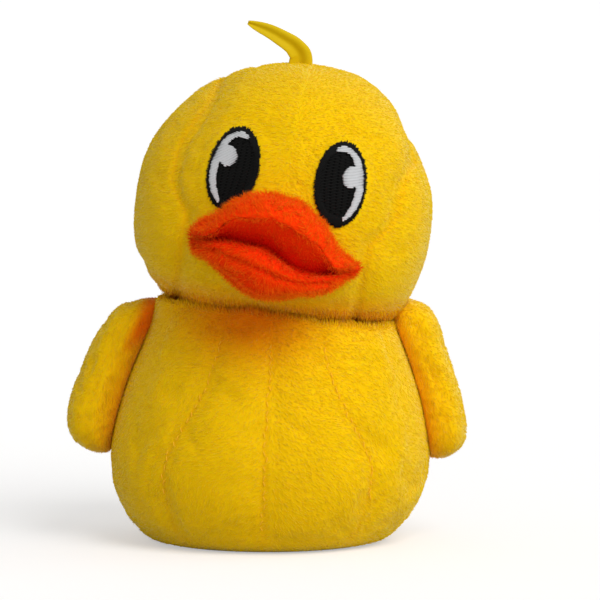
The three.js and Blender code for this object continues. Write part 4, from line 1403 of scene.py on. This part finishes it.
# the angles between which each seam lies, and the heights between which its thread shows
STITCHED_SEAMS = [(-60, -15, 0.018, 0.064), (-14, 14, 0.008, 0.062), (15, 60, 0.016, 0.06)]
seam_thread = thread_material("seam thread", (0.98, 0.55, 0.03), 0.7)
across, along = seen_from_above(body_places, body_places[:, 2])
body_angles = np.degrees(np.arctan2(across, -along))
body_normals = vertex_normals(body.data)
on_seam = np.flatnonzero((body_seam_away(body_places) < 0.0007) & (np.abs(body_angles) < 60))
stitch_random = np.random.default_rng(91)
starts, ends, outwards = [], [], []
for low_angle, high_angle, lowest, highest in STITCHED_SEAMS:
    gore_edge = on_seam[(body_angles[on_seam] > low_angle) & (body_angles[on_seam] < high_angle)]
    for number, height in enumerate(np.arange(lowest, highest, SEAM_STITCH_STEP)):
        nearest = gore_edge[np.argmin(np.abs(body_places[gore_edge, 2] - height))]
        out = body_normals[nearest]
        middle = body_places[nearest] + out * SEAM_STITCH_LIFT
        aside = SEAM_STITCH_SLANT if number % 2 else -SEAM_STITCH_SLANT
        slant = np.array([aside + stitch_random.uniform(-SLANT_LOOSENESS, SLANT_LOOSENESS), 0, 1])
        slant = unit((slant - out * (slant @ out))[None])[0] * SEAM_STITCH_LENGTH / 2
        starts.append(middle - slant)
        ends.append(middle + slant)
        outwards.append(out)
lay_threads(
    "body_seam_stitches", np.array(starts), np.array(ends), np.array(outwards), SEAM_STITCH_WIDTH,
    SEAM_STITCH_WIDTH, "body", seam_thread,
)

# Tuft: a strip of greenish yellow satin, pleated lengthwise and caught in the crown's seam. It
# rises, bends sharply to the left and runs out nearly level.
TUFT_HALF_WIDTH = 0.0035
TUFT_TIP_HALF_WIDTH = 0.0013
TUFT_TIP_ROUNDING = 0.65
TUFT_RISE = 0.0087
TUFT_LEAN = 0.017
TUFT_ROOT_SHIFT = -0.0026
TUFT_BEND = [(0, -0.35), (0.03, 0.25), (0.2, 0.54), (0.6, 0.84), (1, 1)]
TUFT_CLOTH_THICKNESS = 0.00035
TUFT_PLEAT_DEPTH = 0.0006
TUFT_FORWARD = 0.0018
tuft_shape = bmesh.new()
bmesh.ops.create_grid(tuft_shape, x_segments=40, y_segments=18, size=1)
tuft = piece_of("tuft_cloth", tuft_shape, "tuft")
grid = vertex_places(tuft.data)
run, across = (grid[:, 0] + 1) / 2, grid[:, 1]
bend = np.array(TUFT_BEND)
stations = np.linspace(0, 1, len(bend))
fine = np.linspace(0, 1, 60)
smooth_line = np.column_stack([np.interp(fine, stations, bend[:, k]) for k in (0, 1)])
for _ in range(14):
    smooth_line[1:-1] = (smooth_line[:-2] + 2 * smooth_line[1:-1] + smooth_line[2:]) / 4
line_x = TUFT_ROOT_SHIFT - smooth_line[:, 0] * TUFT_LEAN
line_z = CROWN_HEIGHT + smooth_line[:, 1] * TUFT_RISE
slope = np.column_stack([np.gradient(line_x), np.gradient(line_z)])
slope /= np.linalg.norm(slope, axis=1, keepdims=True)
half = between(TUFT_HALF_WIDTH, TUFT_TIP_HALF_WIDTH, run**1.3)
half *= 1 - TUFT_TIP_ROUNDING * run**14
pleat = TUFT_PLEAT_DEPTH * (1 - 0.7 * run) * np.cos(across * 1.3 * math.pi + 0.5)
px, pz = np.interp(run, fine, line_x), np.interp(run, fine, line_z)
sx, sz = np.interp(run, fine, slope[:, 0]), np.interp(run, fine, slope[:, 1])
tuft_local = np.column_stack([px + sz * across * half, pleat - TUFT_FORWARD * run, pz - sx * across * half])
put(tuft, turned(tuft_local, head_turned))
solid = tuft.modifiers.new("cloth", "SOLIDIFY")
solid.thickness = TUFT_CLOTH_THICKNESS
solid.offset = 0
tuft.data.materials.append(thread_material("greenish satin", (0.66, 0.46, 0.002), 0.55, gloss=0.08))
